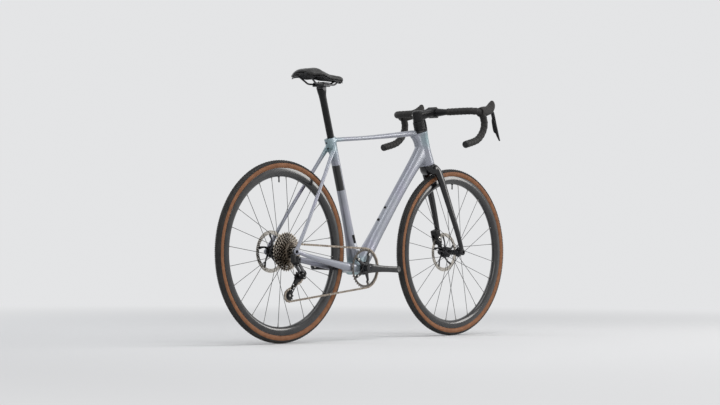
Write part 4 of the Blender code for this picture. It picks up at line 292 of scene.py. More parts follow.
for wheel, centre in WHEELS.items():
    arc = range(-RIM_EDGE_ANGLE, RIM_EDGE_ANGLE + 1, 9)
    skin = [casing_point(a) for a in arc]
    skin += [casing_point(a, -CASING_THICKNESS) for a in reversed(arc)]
    turned(f"{wheel}_tyre_casing", skin, centre, LEFT, 144, tan_casing, f"{wheel}_wheel",
           f"{wheel}_tyre", sharp=60)

    edge = TREAD_EDGE_ANGLE
    arc = [-edge + 2 * edge * k / 14 for k in range(15)]
    band = [casing_point(-edge - 1.5, 0.1)] + [casing_point(a, TREAD_BASE) for a in arc]
    band += [casing_point(edge + 1.5, 0.1)] + [casing_point(a, -0.4) for a in reversed(arc)]
    turned(f"{wheel}_tyre_tread", band, centre, LEFT, 144, tread_rubber, f"{wheel}_wheel", sharp=50)

    bm = bmesh.new()
    step = tau / KNOB_PITCHES
    for angle, length, width, half_steps in KNOB_ROWS:
        for side in (1, -1):
            others = set(bm.verts)
            made = bmesh.ops.create_cube(bm, size=1.0)["verts"]
            bmesh.ops.scale(bm, verts=made, vec=(length, width, KNOB_TOP - KNOB_FOOT))
            top = [v for v in made if v.co.z > 0]
            bmesh.ops.scale(bm, verts=top, vec=(0.80, 0.72, 1))
            rim = [e for e in bm.edges if all(v in top for v in e.verts)]
            bmesh.ops.bevel(bm, geom=rim, offset=0.4, offset_type="OFFSET", segments=1,
                            profile=0.5, affect="EDGES", material=-1)
            radius, away = casing_point(side * angle, (KNOB_TOP + KNOB_FOOT) / 2)
            turn = (half_steps if side == 1 else 1 - half_steps) * step / 2
            place = (Matrix.Rotation(turn, 4, "Y")
                     @ Matrix.Translation((0, away, radius))
                     @ Matrix.Rotation(-side * radians(angle), 4, "X"))
            bmesh.ops.transform(bm, verts=[v for v in bm.verts if v not in others],
                                matrix=Matrix.Translation(centre) @ place)
    bmesh.ops.spin(bm, geom=bm.verts[:] + bm.edges[:] + bm.faces[:], cent=centre, axis=LEFT,
                   angle=step * (KNOB_PITCHES - 1), steps=KNOB_PITCHES - 1, use_duplicate=True)
    shown(f"{wheel}_tyre_knobs", bm, tread_rubber, f"{wheel}_wheel", sharp=20)


# The rims are deep carbon hoops with a rounded nose, satin lacquered, in one turned section.
# Each has a threaded valve stem with its lock nut and cap, standing in between two spokes.

def outwards(angle):
    """The way from an axle at this angle."""
    return Vector((cos(angle), 0, sin(angle)))


RIM_EDGE = 314
RIM_SHOULDER = 299
RIM_NOSE = 281.3
RIM_HALF_WIDTH = 14.2
VALVE_ANGLES = {"rear": radians(93.6), "front": radians(89.6)}

rim_carbon = finish("rim_carbon", (0.012, 0.012, 0.012), 0.28, coat=0.90,
                    coat_roughness=0.12, specular=0.2, grain=(320, 0.00003, 0.4))
streaks = noise(rim_carbon, 26, 5, stretch=(1, 6, 1), distortion=0.6)
into(rim_carbon, "Base Color", ramp(
    rim_carbon, streaks, (0.32, (0.007, 0.007, 0.008)), (0.72, (0.020, 0.019, 0.019))))
gloss(rim_carbon, streaks, 0.22, 0.36)
valve_black = finish("valve_black", (0.022, 0.022, 0.024), 0.32, metallic=0.6)
raised(valve_black, waves(valve_black, 420, "Z"), 0.0002, 0.8)

rim_section = [(RIM_EDGE, 12.6), (RIM_EDGE - 3, 13.6)]
rim_section += [(RIM_SHOULDER - (RIM_SHOULDER - RIM_NOSE) * sin(radians(a)),
                 RIM_HALF_WIDTH * cos(radians(a))) for a in range(0, 181, 12)]
rim_section += [(RIM_EDGE - 3, -13.6), (RIM_EDGE, -12.6), (RIM_EDGE - 1.2, -10.2),
                (RIM_EDGE - 1.2, 10.2)]
for wheel, centre in WHEELS.items():
    turned(f"{wheel}_rim_hoop", rim_section, centre, LEFT, 144, rim_carbon, f"{wheel}_wheel",
           f"{wheel}_rim", sharp=50)
    inward = -outwards(VALVE_ANGLES[wheel])
    turned(f"{wheel}_valve", ((0, 0), (4.2, 0), (4.2, 4.5), (2.6, 4.5), (2.6, 15), (2.9, 15),
                              (2.9, 20.5), (2.1, 23.5), (0, 23.5)),
           centre - (RIM_NOSE + 2) * inward, inward, 20, valve_black, f"{wheel}_wheel", sharp=30)


# The frame is one hollow carbon moulding: down tube, top tube, seat tube, head tube and stays
# flow into each other. The aluminium clamp pocket, the bottom bracket shell and the dropouts
# are machined after it is moulded. It is lacquered in a pearl that shifts from lilac to aqua.

BRACKET = Vector((-85.954, 0, 281))
SEAT_UP = Vector((-0.292372, 0, 0.956305))
SEAT_FORWARD = Vector((0.956305, 0, 0.292372))
STEER_FOOT = Vector((467.202, 0, 330.094))
STEER_UP = Vector((-0.309017, 0, 0.951057))
STEER_FORWARD = Vector((0.951057, 0, 0.309017))
STAY_ALONG = Vector((0.989143, 0, -0.146956))
STAY_NORMAL = Vector((0.146956, 0, 0.989143))
SEAT_TUBE_TOP = 526
HEAD_BOTTOM = 389.4
HEAD_TOP = 529.4


def on_seat_axis(along, forward=0, out=0):
    return BRACKET + along * SEAT_UP + forward * SEAT_FORWARD + out * LEFT


def on_steering_axis(along, forward=0, out=0):
    return STEER_FOOT + along * STEER_UP + forward * STEER_FORWARD + out * LEFT


def flowing(rows, count):
    """Rows of numbers, each starting with a place, drawn into a smooth run of this many rows."""
    at = [0.0]
    for a, b in zip(rows, rows[1:]):
        at.append(at[-1] + dist(a[:3], b[:3]))
    slopes = []
    for k in range(len(rows)):
        i, j = max(k - 1, 0), min(k + 1, len(rows) - 1)
        slopes.append([(b - a) / (at[j] - at[i]) for a, b in zip(rows[i], rows[j])])
    drawn, span = [], 0
    for step in range(count):
        place = at[-1] * step / (count - 1)
        while span < len(rows) - 2 and place > at[span + 1]:
            span += 1
        length = at[span + 1] - at[span]
        t = (place - at[span]) / length
        near, far = t * t * (3 - 2 * t), t * (1 - t) * length
        drawn.append([a + (b - a) * near + far * ((1 - t) * m - t * n) for a, b, m, n in zip(
            rows[span], rows[span + 1], slopes[span], slopes[span + 1])])
    return drawn


def edges_of(ring):
    """The edges that join a ring's own points."""
    inside = set(ring)
    return list(dict.fromkeys(e for v in ring for e in v.link_edges if e.other_vert(v) in inside))


def verts_in(geom):
    return [g for g in geom if isinstance(g, bmesh.types.BMVert)]


def drawn_on(bm, ring):
    """Draws a ring of points on by a step; returns the new ring and the faces between them."""
    grown = bmesh.ops.extrude_edge_only(bm, edges=edges_of(ring))["geom"]
    return verts_in(grown), [g for g in grown if isinstance(g, bmesh.types.BMFace)]


def heading(rows, k):
    """The way that a run of rows takes at its k-th row."""
    before, after = rows[max(k - 1, 0)], rows[min(k + 1, len(rows) - 1)]
    return (Vector(after[:3]) - Vector(before[:3])).normalized()


def lofted(bm, rows, sides=32, power=2.4, count=None):
    """A closed tube through rows of place, half width and half height; squarer with power."""
    rows = flowing([[*place, wide, high] for place, wide, high in rows], count or 6 * len(rows))
    ring = bmesh.ops.create_circle(bm, segments=sides, radius=1.0, cap_ends=True)["verts"]
    for v in ring:
        v.co.x = copysign(abs(v.co.x) ** (2 / power), v.co.x)
        v.co.y = copysign(abs(v.co.y) ** (2 / power), v.co.y)
    shell, last = [ring[0].link_faces[0]], Matrix()
    for k, (x, y, z, wide, high) in enumerate(rows):
        ahead = heading(rows, k)
        sideways = (LEFT - LEFT.dot(ahead) * ahead).normalized()
        section = Matrix((sideways * wide, ahead.cross(sideways) * high, ahead))
        section = section.transposed().to_4x4()
        section.translation = (x, y, z)
        if k:
            ring, faces = drawn_on(bm, ring)
            shell += faces
        bmesh.ops.transform(bm, verts=ring, matrix=section @ last.inverted())
        last = section
    shell += bmesh.ops.contextual_create(bm, geom=edges_of(ring))["faces"]
    bmesh.ops.recalc_face_normals(bm, faces=shell)


def rod(bm, centre, way, near, far, radius, sides=32):
    """A round bar along a way from a centre, between two distances from it."""
    start, end = Vector(centre) + near * way, Vector(centre) + far * way
    turn = (end - start).to_track_quat("Z", "Y").to_matrix().to_4x4()
    bmesh.ops.create_cone(bm, cap_ends=True, cap_tris=False, segments=sides, radius1=radius,
                          radius2=radius, depth=(end - start).length,
                          matrix=Matrix.Translation((start + end) / 2) @ turn)


def block(bm, centre, size, up=(0, 0, 1), along=(1, 0, 0), edge=0):
    """A box with rounded edges, turned so that its first side runs along and its last one up."""
    up = Vector(up).normalized()
    along = (Vector(along) - Vector(along).dot(up) * up).normalized()
    turn = Matrix((along, up.cross(along), up)).transposed().to_4x4()
    others = set(bm.verts)
    made = bmesh.ops.create_cube(bm, size=1.0)["verts"]
    bmesh.ops.scale(bm, verts=made, vec=size)
    if edge:
        bmesh.ops.bevel(bm, geom=list({e for v in made for e in v.link_edges}), offset=edge,
                        offset_type="OFFSET", segments=3, profile=0.5, affect="EDGES", material=-1)
    bmesh.ops.transform(bm, verts=[v for v in bm.verts if v not in others],
                        matrix=Matrix.Translation(centre) @ turn)


def mirrored(bm):
    """Adds the other side of the bike, across its middle plane."""
    both = bmesh.ops.duplicate(bm, geom=bm.verts[:] + bm.edges[:] + bm.faces[:])["geom"]
    bmesh.ops.scale(bm, verts=verts_in(both), vec=(1, -1, 1))
    bmesh.ops.recalc_face_normals(bm, faces=bm.faces)


def tool(shape, *sizes):
    """One shape on its own, to show or to cut with."""
    bm = bmesh.new()
    shape(bm, *sizes)
    return bm


def as_drawn(thing):
    """A mesh of what modifiers make of an object."""
    return bpy.data.meshes.new_from_object(
        thing.evaluated_get(bpy.context.evaluated_depsgraph_get()))


def moulded(name, solid, voxel, rounds, *cutters, sharp=40):
    """Melts overlapping closed shells into one skin with soft joints, then machines it crisply;
    without a voxel size it is only machined.
    """
    body = placed(name, meshed(name, solid))
    if voxel:
        skin = body.modifiers.new("skin", "REMESH")
        skin.mode = "VOXEL"
        skin.voxel_size = voxel
        soft = body.modifiers.new("soft", "SMOOTH")
        soft.factor = 0.5
        soft.iterations = rounds
    tools = [placed("cutter", meshed("cutter", cutter)) for cutter in cutters]
    for used in tools:
        cut = body.modifiers.new("cut", "BOOLEAN")
        cut.operation = "DIFFERENCE"
        cut.solver = "MANIFOLD"
        cut.object = used
    done = as_drawn(body)
    for used in (body, *tools):
        bpy.data.objects.remove(used, do_unlink=True)
    done.name = name
    done.materials.clear()
    done.shade_smooth()
    done.set_sharp_from_angle(angle=radians(sharp))
    return done


def along_chord(start, end, *rows):
    """Loft rows from share of the chord, offset from it, half width and half height."""
    offset_way = (end - start).normalized().cross(LEFT)
    offset_way *= copysign(1, offset_way.z)
    return [(start + share * (end - start) + offset * offset_way, wide, high)
            for share, offset, wide, high in rows]


pearl = finish("pearl_lacquer", (0.29, 0.30, 0.35), 0.38, metallic=0.42, coat=0.45,
               coat_roughness=0.13)
place = on_object(pearl)
clouds = noise(pearl, 7, 4, distortion=0.8)
# The pearl's shift to aqua is painted in here as a painted sheen: fixed aqua patches round the seat
# cluster, the bottom bracket and the top of the head tube, broken by the clouds.
aqua_sheen = 0.0
for centre, reach in ((on_seat_axis(505, -10), 0.085), (BRACKET, 0.080),
                      (on_steering_axis(500, 20), 0.070)):
    away = node(pearl, "VectorMath", {0: place, 1: centre / 1000}, operation="DISTANCE")
    glow = between(pearl, away.outputs["Value"], 0, reach, 1, 0, smooth=True)
    aqua_sheen = maths(pearl, "MAXIMUM", glow, aqua_sheen)
aqua_sheen = maths(pearl, "MULTIPLY", aqua_sheen, between(pearl, clouds, 0.3, 0.7, 0.15, 0.95))
lilac = ramp(pearl, clouds, (0.30, (0.250, 0.248, 0.318)), (0.55, (0.275, 0.292, 0.332)),
             (0.75, (0.315, 0.306, 0.385)))
shifted = node(pearl, "Mix", {"A": lilac, "B": (0.20, 0.42, 0.42, 1), "Factor": aqua_sheen},
               data_type="RGBA")
# A plain black panel is masked off and sprayed round the back of the seat tube.
panel = 1.0
for way, middle, half in ((SEAT_UP, 367, 0.050), (SEAT_FORWARD, -8.5, 0.012)):
    along = node(pearl, "VectorMath", {0: place, 1: way}, operation="DOT_PRODUCT").outputs["Value"]
    within = maths(pearl, "COMPARE", along, (BRACKET.dot(way) + middle) / 1000, half)
    panel = maths(pearl, "MULTIPLY", within, panel)
painted = node(pearl, "Mix", {"A": shifted.outputs["Result"], "B": (0.010, 0.010, 0.011, 1),
                              "Factor": panel}, data_type="RGBA")
into(pearl, "Base Color", painted.outputs["Result"])
flakes = noise(pearl, 2600, 1)
gloss(pearl, flakes, 0.33, 0.43)
raised(pearl, flakes, 0.00002, 0.35)

tubes = bmesh.new()
down_top = on_steering_axis(HEAD_BOTTOM + 75.6)
lofted(tubes, along_chord(
    BRACKET, down_top, (0.016, -4, 36, 22), (0.07, -6, 33, 24.5), (0.19, -6, 24.5, 25.5),
    (0.31, -4, 21, 25), (0.62, 0, 19.5, 24), (0.845, -1, 20, 27), (0.938, -3, 20, 33.5),
    (0.99, -3, 19.5, 42)), 40, 2.7, 60)
lofted(tubes, along_chord(
    on_seat_axis(SEAT_TUBE_TOP - 9.5), on_steering_axis(HEAD_TOP - 3.5), (0, 0, 16, 8.8),
    (0.12, -0.5, 16.5, 8.8), (0.35, -2.5, 17, 8.5), (0.6, -2, 18, 10), (0.8, -1, 19, 11.2),
    (0.93, 0, 20.5, 12), (0.995, 0, 21.5, 12.5)), 40, 2.7, 50)
lofted(tubes, [(on_steering_axis(HEAD_BOTTOM + up, forward), 17, long) for up, forward, long in (
    (30, -16, 18), (68, -22, 20), (100, -23, 20), (125, -26, 24), (140, -30, 30))], 40, 3.2)
lofted(tubes, [(on_steering_axis(HEAD_BOTTOM + up), r, r) for up, r in (
    (-1, 31.2), (12, 30.8), (50, 27.5), (100, 26.8), (141, 28.6))], 48, 2.0)
lofted(tubes, [(on_seat_axis(up, forward), wide, long) for up, forward, wide, long in (
    (10, -4, 31, 23), (50, -4, 27, 22.5), (110, -3, 17.5, 20.5), (200, -1, 15.8, 17.5),
    (420, 0, 15.8, 16.8), (470, -1, 16.2, 18), (500, -4.5, 16.8, 23.5), (528, -5.5, 16.8, 25.8))],
    40, 2.6, 60)
rod(tubes, BRACKET, LEFT, -40.5, 40.5, 27.2, 48)
yoke_end = Vector((-154, 0, 283))
lofted(tubes, [(BRACKET + Vector((-12, 0, 0)), 33, 18), (BRACKET.lerp(yoke_end, 0.55), 32, 16.5),
               (yoke_end, 29, 14)], 40, 4.0)

stays = bmesh.new()
stay_top = on_seat_axis(SEAT_TUBE_TOP - 36, -10, 19)
stay_foot = REAR_AXLE + Vector((4, 77.1, 10))
lofted(stays, [(on_seat_axis(SEAT_TUBE_TOP - 18, -2, 9.5), 7.5, 8.5)] + [
    (stay_top.lerp(stay_foot, share) + bow * LEFT, wide, high) for share, bow, wide, high in (
        (0, 0, 8, 10), (0.1, 0, 7.2, 8.5), (0.3, 2, 6.7, 7.5), (0.55, 4.2, 6.5, 7.3),
        (0.8, 3, 6.1, 7.9), (0.92, 1, 4.8, 9.4), (1, 0, 3, 9.7))], 28, 2.3, 56)
lofted(stays, [(BRACKET.lerp(REAR_AXLE, share) + Vector((0, out, -drop)), wide, high)
               for share, drop, out, wide, high in (
    (0.02, 0, 27, 12, 20), (0.11, 5, 30.5, 10.5, 18), (0.221, 8, 32.5, 9.3, 16.4),
    (0.386, 8, 41.5, 9.1, 14.4), (0.65, 7, 60, 8.1, 11.4), (0.86, 4.5, 73.5, 6.4, 9),
    (0.93, 2, 76.2, 4.8, 8.5), (1, 0, 77.1, 3.2, 8.3))], 28, 2.5, 60)
rod(stays, REAR_AXLE, LEFT, 71.4, 80, 14.2)
mirrored(stays)
tubes.from_mesh(meshed("stays", stays))
ledge = REAR_AXLE + 64 * STAY_ALONG + 1.5 * STAY_NORMAL + 66.5 * LEFT
block(tubes, ledge, (50, 19, 10.2), STAY_NORMAL, STAY_ALONG)

bores = [tool(rod, *sizes) for sizes in (
    (STEER_FOOT, STEER_UP, HEAD_BOTTOM - 10, HEAD_TOP + 10, 21.5, 48),
    (STEER_FOOT, STEER_UP, HEAD_BOTTOM - 10, HEAD_BOTTOM + 7.8, 26.4, 48),
    (STEER_FOOT, STEER_UP, HEAD_TOP - 7.8, HEAD_TOP + 10, 24.9, 48),
    (BRACKET, SEAT_UP, 366, SEAT_TUBE_TOP + 20, 13.95, 48), (BRACKET, LEFT, -60, 60, 20.9, 48),
    (REAR_AXLE, LEFT, -100, 100, 6.4))]
bores += [tool(block, on_steering_axis(at), (100, 80, 40), STEER_UP, STEER_FORWARD)
          for at in (HEAD_TOP + 20.1, HEAD_BOTTOM - 20.1)]
bores += [
    tool(rod, REAR_AXLE, LEFT, -61.2, -74.3, 18),
    tool(block, on_seat_axis(SEAT_TUBE_TOP - 13, -19.85), (9.2, 12.7, 38.2), SEAT_UP, SEAT_FORWARD),
    tool(block, on_seat_axis(SEAT_TUBE_TOP + 10.2), (80, 60, 20), SEAT_UP, SEAT_FORWARD),
    tool(rod, REAR_AXLE, LEFT, -78.3, -90, 8)]
frame_mesh = moulded("frame_moulding", tubes, 2.3, 9, *bores)
shown("frame_moulding", frame_mesh, pearl, "chassis", "frame")


# Small fittings are set into the frame: steel headset bearings, bottom bracket cups, the
# aluminium wedge and bolts of the seat clamp, the bottle bosses and a blank where a front
# shifter would go. The frame's own bolts are low black screws with a hexagon socket.

satin_black = finish(
    "satin_black", (0.011, 0.011, 0.012), 0.34, specular=0.2,
    tones=(60, 4, (0.30, (0.008, 0.008, 0.009)), (0.75, (0.018, 0.018, 0.019))),
    shine=(400, 0.32, 0.46), grain=(1800, 0.00002, 0.5))
bright_steel = finish("bright_steel", (0.56, 0.55, 0.53), 0.26, metallic=1.0)
gloss(bright_steel, noise(bright_steel, 500, stretch=(1, 8, 1)), 0.20, 0.36)
raised(bright_steel, noise(bright_steel, 900, stretch=(1, 8, 1)), 0.00001, 0.5)


def dress(name, made):
    """Gives a CAD node that is shown as it is a better surface."""
    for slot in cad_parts[name].material_slots:
        slot.material = made


def screw(bm, head, way, radius, height):
    """A cap screw's head with its hexagon socket, from where it is seated."""
    spun(bm, ((0, -1), (radius, -1), (radius, 0.82 * height), (0.86 * radius, height),
              (0.62 * radius, height), (0.62 * radius, 0.3 * height), (0, 0.3 * height)),
         head, way, 18)


for fitting in ("lower_headset_bearing", "upper_headset_bearing"):
    dress(fitting, bright_steel)
for fitting in ("seat_clamp_wedge", "derailleur_hanger"):
    dress(fitting, satin_black)
SIDES = ((1, "left"), (-1, "right"))
for side, letter in SIDES:
    turned(f"bracket_cup_{letter}", (
        (14.8, -12), (20.4, -12), (20.4, 0.2), (23.8, 0.2), (24, 0.8), (24, 2.8), (23.2, 3.4),
        (18, 3.4), (17.2, 2.6), (14.8, 2.6)), BRACKET + side * 39.5 * LEFT, side * LEFT, 48,
        satin_black, "chassis", f"bottom_bracket_cup_{letter}")

bm = bmesh.new()
for up, back in ((490, 26.8), (512, 29.7)):
    screw(bm, on_seat_axis(up, -back), -SEAT_FORWARD, 3.4, 1.6)
down_way = (down_top - BRACKET).normalized()
down_up = down_way.cross(LEFT)
for along in (231, 294):
    screw(bm, BRACKET + along * down_way + 22.6 * down_up, down_up, 5.4, 2.8)
for up in (225, 290):
    screw(bm, on_seat_axis(up, 16.8), SEAT_FORWARD, 3.6, 2.2)
shown("frame_screws", bm, satin_black, "chassis")

bm = bmesh.new()
block(bm, on_seat_axis(118, 1, -17), (12, 5, 34), SEAT_UP, SEAT_FORWARD, 2)
for up in (127, 109):
    screw(bm, on_seat_axis(up, 1, -19.5), -LEFT, 3.2, 1.8)
shown("front_mount_blank", bm, satin_black, "chassis")
turned("rear_axle", ((0, 84.5), (4, 84.5), (4, 82.5), (4.6, 82.5), (4.6, 84.3), (8.8, 84.3),
                     (9.4, 83.6), (9.4, 80.2), (6, 80.2), (6, -78.8), (4.2, -78.8), (4.2, -74),
                     (0, -74)), REAR_AXLE, LEFT, 40, satin_black, "chassis", "rear_thru_axle")


# The fork is one carbon moulding in gloss black: crown, straight blades and a tapered steerer
# inside the head tube. Its thru axle is screwed in from the left.

gloss_black = finish(
    "gloss_black", (0.006, 0.006, 0.007), 0.12, coat=0.40, coat_roughness=0.03,
    specular=0.25, tones=(40, 4, (0.30, (0.005, 0.005, 0.006)), (0.75, (0.012, 0.012, 0.014))),
    shine=(140, 0.07, 0.16))
raised(gloss_black, noise(gloss_black, 90, 1), 0.00003, 0.3)

blades = bmesh.new()
lofted(blades, [(on_steering_axis(up * HEAD_BOTTOM, forward, out), wide, high)
                for up, forward, out, wide, high in (
    (0.957, 12, 21, 15, 19), (0.905, 20, 31, 12.5, 19.5), (0.85, 25, 35, 10.9, 18.3),
    (0.7, 31.5, 38.5, 9.7, 17.1), (0.53, 37.5, 42.5, 9.1, 15.6), (0.25, 44.5, 51, 8, 12.7),
    (0.08, 45.5, 55.5, 6.9, 11.5), (0, 45, 56.6, 6, 10.8))], 32, 2.3, 70)
rod(blades, FRONT_AXLE, LEFT, 50.5, 63.2, 12.7)
mirrored(blades)
lofted(blades, [(on_steering_axis(HEAD_BOTTOM - down, forward), wide, long)
                for down, forward, wide, long in (
    (0.3, 0, 29.2, 29.2), (8, 0, 32.2, 29.2), (18, 4, 37.7, 27.2), (31, 10, 40.2, 23.2))],
    40, 2.5, 24)
rod(blades, STEER_FOOT, STEER_UP, HEAD_BOTTOM - 15, 610.5, 14.4, 40)
rod(blades, STEER_FOOT, STEER_UP, HEAD_BOTTOM - 15, HEAD_BOTTOM + 9.5, 19.8, 40)
fork_mesh = moulded("fork_moulding", blades, 1.9, 8, tool(rod, FRONT_AXLE, LEFT, -80, 80, 6.4),
                    tool(block, FRONT_AXLE + Vector((0, 0, 15)), (45, 100.8, 55)),
                    tool(rod, STEER_FOOT, STEER_UP, HEAD_BOTTOM + 50, 700, 11.2))
shown("fork_moulding", fork_mesh, gloss_black, "fork_and_bars", "fork")
turned("front_axle", (
    (0, 67.7), (4, 67.7), (4, 65.5), (4.6, 65.5), (4.6, 67.5), (8.8, 67.5), (9.4, 66.7),
    (9.4, 63.4), (6, 63.4), (6, -62), (4.2, -62), (4.2, -58), (0, -58)), FRONT_AXLE, LEFT, 40,
    satin_black, "fork_and_bars", "front_thru_axle")


# Above the head tube a moulded cover and three spacers stand under the forged alloy stem,
# all in satin black. The stem's faceplate is held on the bar's clamp by four small bolts.

bm = bmesh.new()
lofted(bm, [(on_steering_axis(HEAD_TOP + up, -1), wide, long) for up, wide, long in (
    (0.3, 26.6, 28.1), (1, 27, 28.5), (3, 26.2, 28.2), (6.4, 22.2, 26.4), (7.5, 21.2, 25.7))],
    48, 2.2, 18)
shown("headset_cap", bm, satin_black, "fork_and_bars", "headset_cover")
bm = bmesh.new()
for k in range(3):
    low, high = 7.8 + 12.1 * k, 7.8 + 12.1 * (k + 1) - 0.3
    lofted(bm, [(on_steering_axis(HEAD_TOP + up, -1), wide, wide + 4.4) for up, wide in (
        (low, 19.4), (low + 0.6, 20.1), (high - 0.6, 20.1), (high, 19.4))], 48, 2.2, 14)
shown("spacers", bm, satin_black, "fork_and_bars", "headset_spacers")

STEM_BASE = HEAD_TOP + 44
STEM_HEIGHT = 40
BAR_CENTRE = Vector((380.691, 0, 915.102))
stem_middle = on_steering_axis(STEM_BASE + STEM_HEIGHT / 2)
stem_ahead = (BAR_CENTRE - stem_middle).normalized()
stem_upward = stem_ahead.cross(LEFT)
body = bmesh.new()
lofted(body, [(on_steering_axis(STEM_BASE), 19.5, 21.5),
              (on_steering_axis(STEM_BASE + STEM_HEIGHT), 18.7, 19.7)], 40, 2.2, 8)
lofted(body, [(stem_middle.lerp(BAR_CENTRE, share), wide, high) for share, wide, high in (
    (0, 17, 18.5), (0.3, 16.6, 18.1), (0.62, 15.7, 15.2), (0.96, 20, 15.2))], 40, 3.0, 24)
rod(body, BAR_CENTRE, LEFT, -23.101, 23.101, 20.5, 48)
stem_mesh = moulded(
    "stem_forging", body, 1.1, 5,
    tool(rod, STEER_FOOT, STEER_UP, STEM_BASE - 20, STEM_BASE + 60, 14.7, 40),
    tool(rod, BAR_CENTRE, LEFT, -40, 40, 16.2, 48),
    tool(block, BAR_CENTRE + 27.5 * stem_ahead, (60, 60, 55), stem_ahead, LEFT),
    tool(block, on_steering_axis(STEM_BASE + 20, -22), (20, 1.2, 50), STEER_UP, STEER_FORWARD))
shown("stem_forging", stem_mesh, satin_black, "fork_and_bars", "stem")

plate = bmesh.new()
rod(plate, BAR_CENTRE, LEFT, -22.1, 22.1, 20.5, 48)
for up in (18.5, -18.5):
    lug = BAR_CENTRE + 3.5 * stem_ahead + up * stem_upward
    block(plate, lug, (44.2, 8, 7.5), stem_ahead, LEFT, 1)
plate_mesh = moulded(
    "stem_front_plate", plate, 0.9, 4, tool(rod, BAR_CENTRE, LEFT, -40, 40, 16.2, 48),
    tool(block, BAR_CENTRE - 26.9 * stem_ahead, (60, 60, 55), stem_ahead, LEFT),
    tool(block, BAR_CENTRE + 28 * stem_ahead, (18, 22, 30), stem_ahead, LEFT, 3))
shown("stem_front_plate", plate_mesh, satin_black, "fork_and_bars", "stem_faceplate")
bm = bmesh.new()
for up in (19, -19):
    for out in (16.5, -16.5):
        screw(bm, BAR_CENTRE + 6.8 * stem_ahead + up * stem_upward + out * LEFT, stem_ahead, 3, 3)
for up in (10, 30):
    screw(bm, on_steering_axis(STEM_BASE + up, -17.5, 8.5), LEFT, 3, 2.8)
shown("stem_screws", bm, bright_steel, "fork_and_bars")
turned("top_cap", ((0, 2.8), (3, 2.8), (3, 4.6), (5.2, 4.6), (6, 4.4), (10.4, 4.4), (16, 2.2),
                   (16.5, 1.4), (16.5, 0.3), (0, 0.3)), on_steering_axis(STEM_BASE + STEM_HEIGHT),
       STEER_UP, 48, satin_black, "fork_and_bars", "steerer_top_cap")


# The handlebar is one bent and bulged alloy tube. Its drops are wrapped, from the ends up to
# the clamp, in a grippy black tape whose turns overlap, and closed by pushed-in plugs.

HALF_BAR = 208
BAR_REACH = 75
BAR_DROP = 128
BAR_RADIUS = 11.9
TAPE_RADIUS = 13.7
# Shares of the reach, how far out from the bend, shares of the drop
BAR_ROUTE = ((0, -208, 0), (0, -176, 0), (0, -130, 0), (0, -48, 0), (0.05, -23, 0),
             (0.21, -8, -0.002), (0.55, -1.5, -0.015), (0.85, 0, -0.1), (1, 2, -0.35),
             (0.92, 3, -0.56), (0.66, 4, -0.77), (0.25, 5.5, -0.93), (-0.72, 8, -1.085))
bar_rows = flowing([[BAR_CENTRE.x + ahead * BAR_REACH, HALF_BAR + out,
                     BAR_CENTRE.z + down * BAR_DROP, 15.9 if k < 2 else BAR_RADIUS]
                    for k, (ahead, out, down) in enumerate(BAR_ROUTE)], 420)


def swept(bm, rows, sides, wrap=None):
    """A round tube along close rows of x, y, z and radius, with its run and turn as a UV map;
    a wrap gives it a step of this pitch and height, as overlapping tape has.
    """
    uv = bm.loops.layers.uv.verify()
    run_of = bm.verts.layers.float.get("run") or bm.verts.layers.float.new("run")
    turn_of = bm.verts.layers.float.get("turn") or bm.verts.layers.float.new("turn")
    ring = bmesh.ops.create_circle(bm, segments=sides, radius=1.0, cap_ends=True)["verts"]
    for v in ring:
        v[turn_of] = atan2(v.co.y, v.co.x) % tau / tau
    shell, run, last = [ring[0].link_faces[0]], 0.0, Matrix()
    ahead = (Vector(rows[1][:3]) - Vector(rows[0][:3])).normalized()
    sideways = ahead.orthogonal().normalized()
    for k, (x, y, z, radius) in enumerate(rows):
        turned_to = heading(rows, k)
        sideways = ahead.rotation_difference(turned_to) @ sideways
        ahead = turned_to
        section = Matrix((sideways * radius, ahead.cross(sideways) * radius, ahead))
        section = section.transposed().to_4x4()
        section.translation = (x, y, z)
        if k:
            run += dist(rows[k - 1][:3], rows[k][:3])
            ring, faces = drawn_on(bm, ring)
            shell += faces
        bmesh.ops.transform(bm, verts=ring, matrix=section @ last.inverted())
        last = section
        for v in ring:
            v[run_of] = run
    shell += bmesh.ops.contextual_create(bm, geom=edges_of(ring))["faces"]
    for face in shell:
        turns = [loop.vert[turn_of] for loop in face.loops]
        for loop, turn in zip(face.loops, turns):
            over = 1.0 if max(turns) - turn > 0.5 else 0.0
            loop[uv].uv = (loop.vert[run_of], turn + over)
    if wrap:
        for v in {v for face in shell for v in face.verts}:
            centre = Vector(min(rows, key=lambda row: (Vector(row[:3]) - v.co).length_squared)[:3])
            phase = (v[run_of] / wrap[0] + v[turn_of]) % 1.0
            v.co += (v.co - centre).normalized() * wrap[1] * phase ** 2.0
    bmesh.ops.recalc_face_normals(bm, faces=shell)


bm = bmesh.new()
swept(bm, bar_rows[::3], 32)
# The cut runs just beside the middle, so that no end face stays inside the tube.
bmesh.ops.bisect_plane(bm, geom=bm.verts[:] + bm.edges[:] + bm.faces[:], plane_co=0.01 * LEFT,
                       plane_no=LEFT, clear_inner=True)
bmesh.ops.mirror(bm, geom=bm.verts[:] + bm.edges[:] + bm.faces[:], axis="Y", merge_dist=0.2)
bmesh.ops.recalc_face_normals(bm, faces=bm.faces)
shown("bar_tube", bm, satin_black, "fork_and_bars", "handlebar")

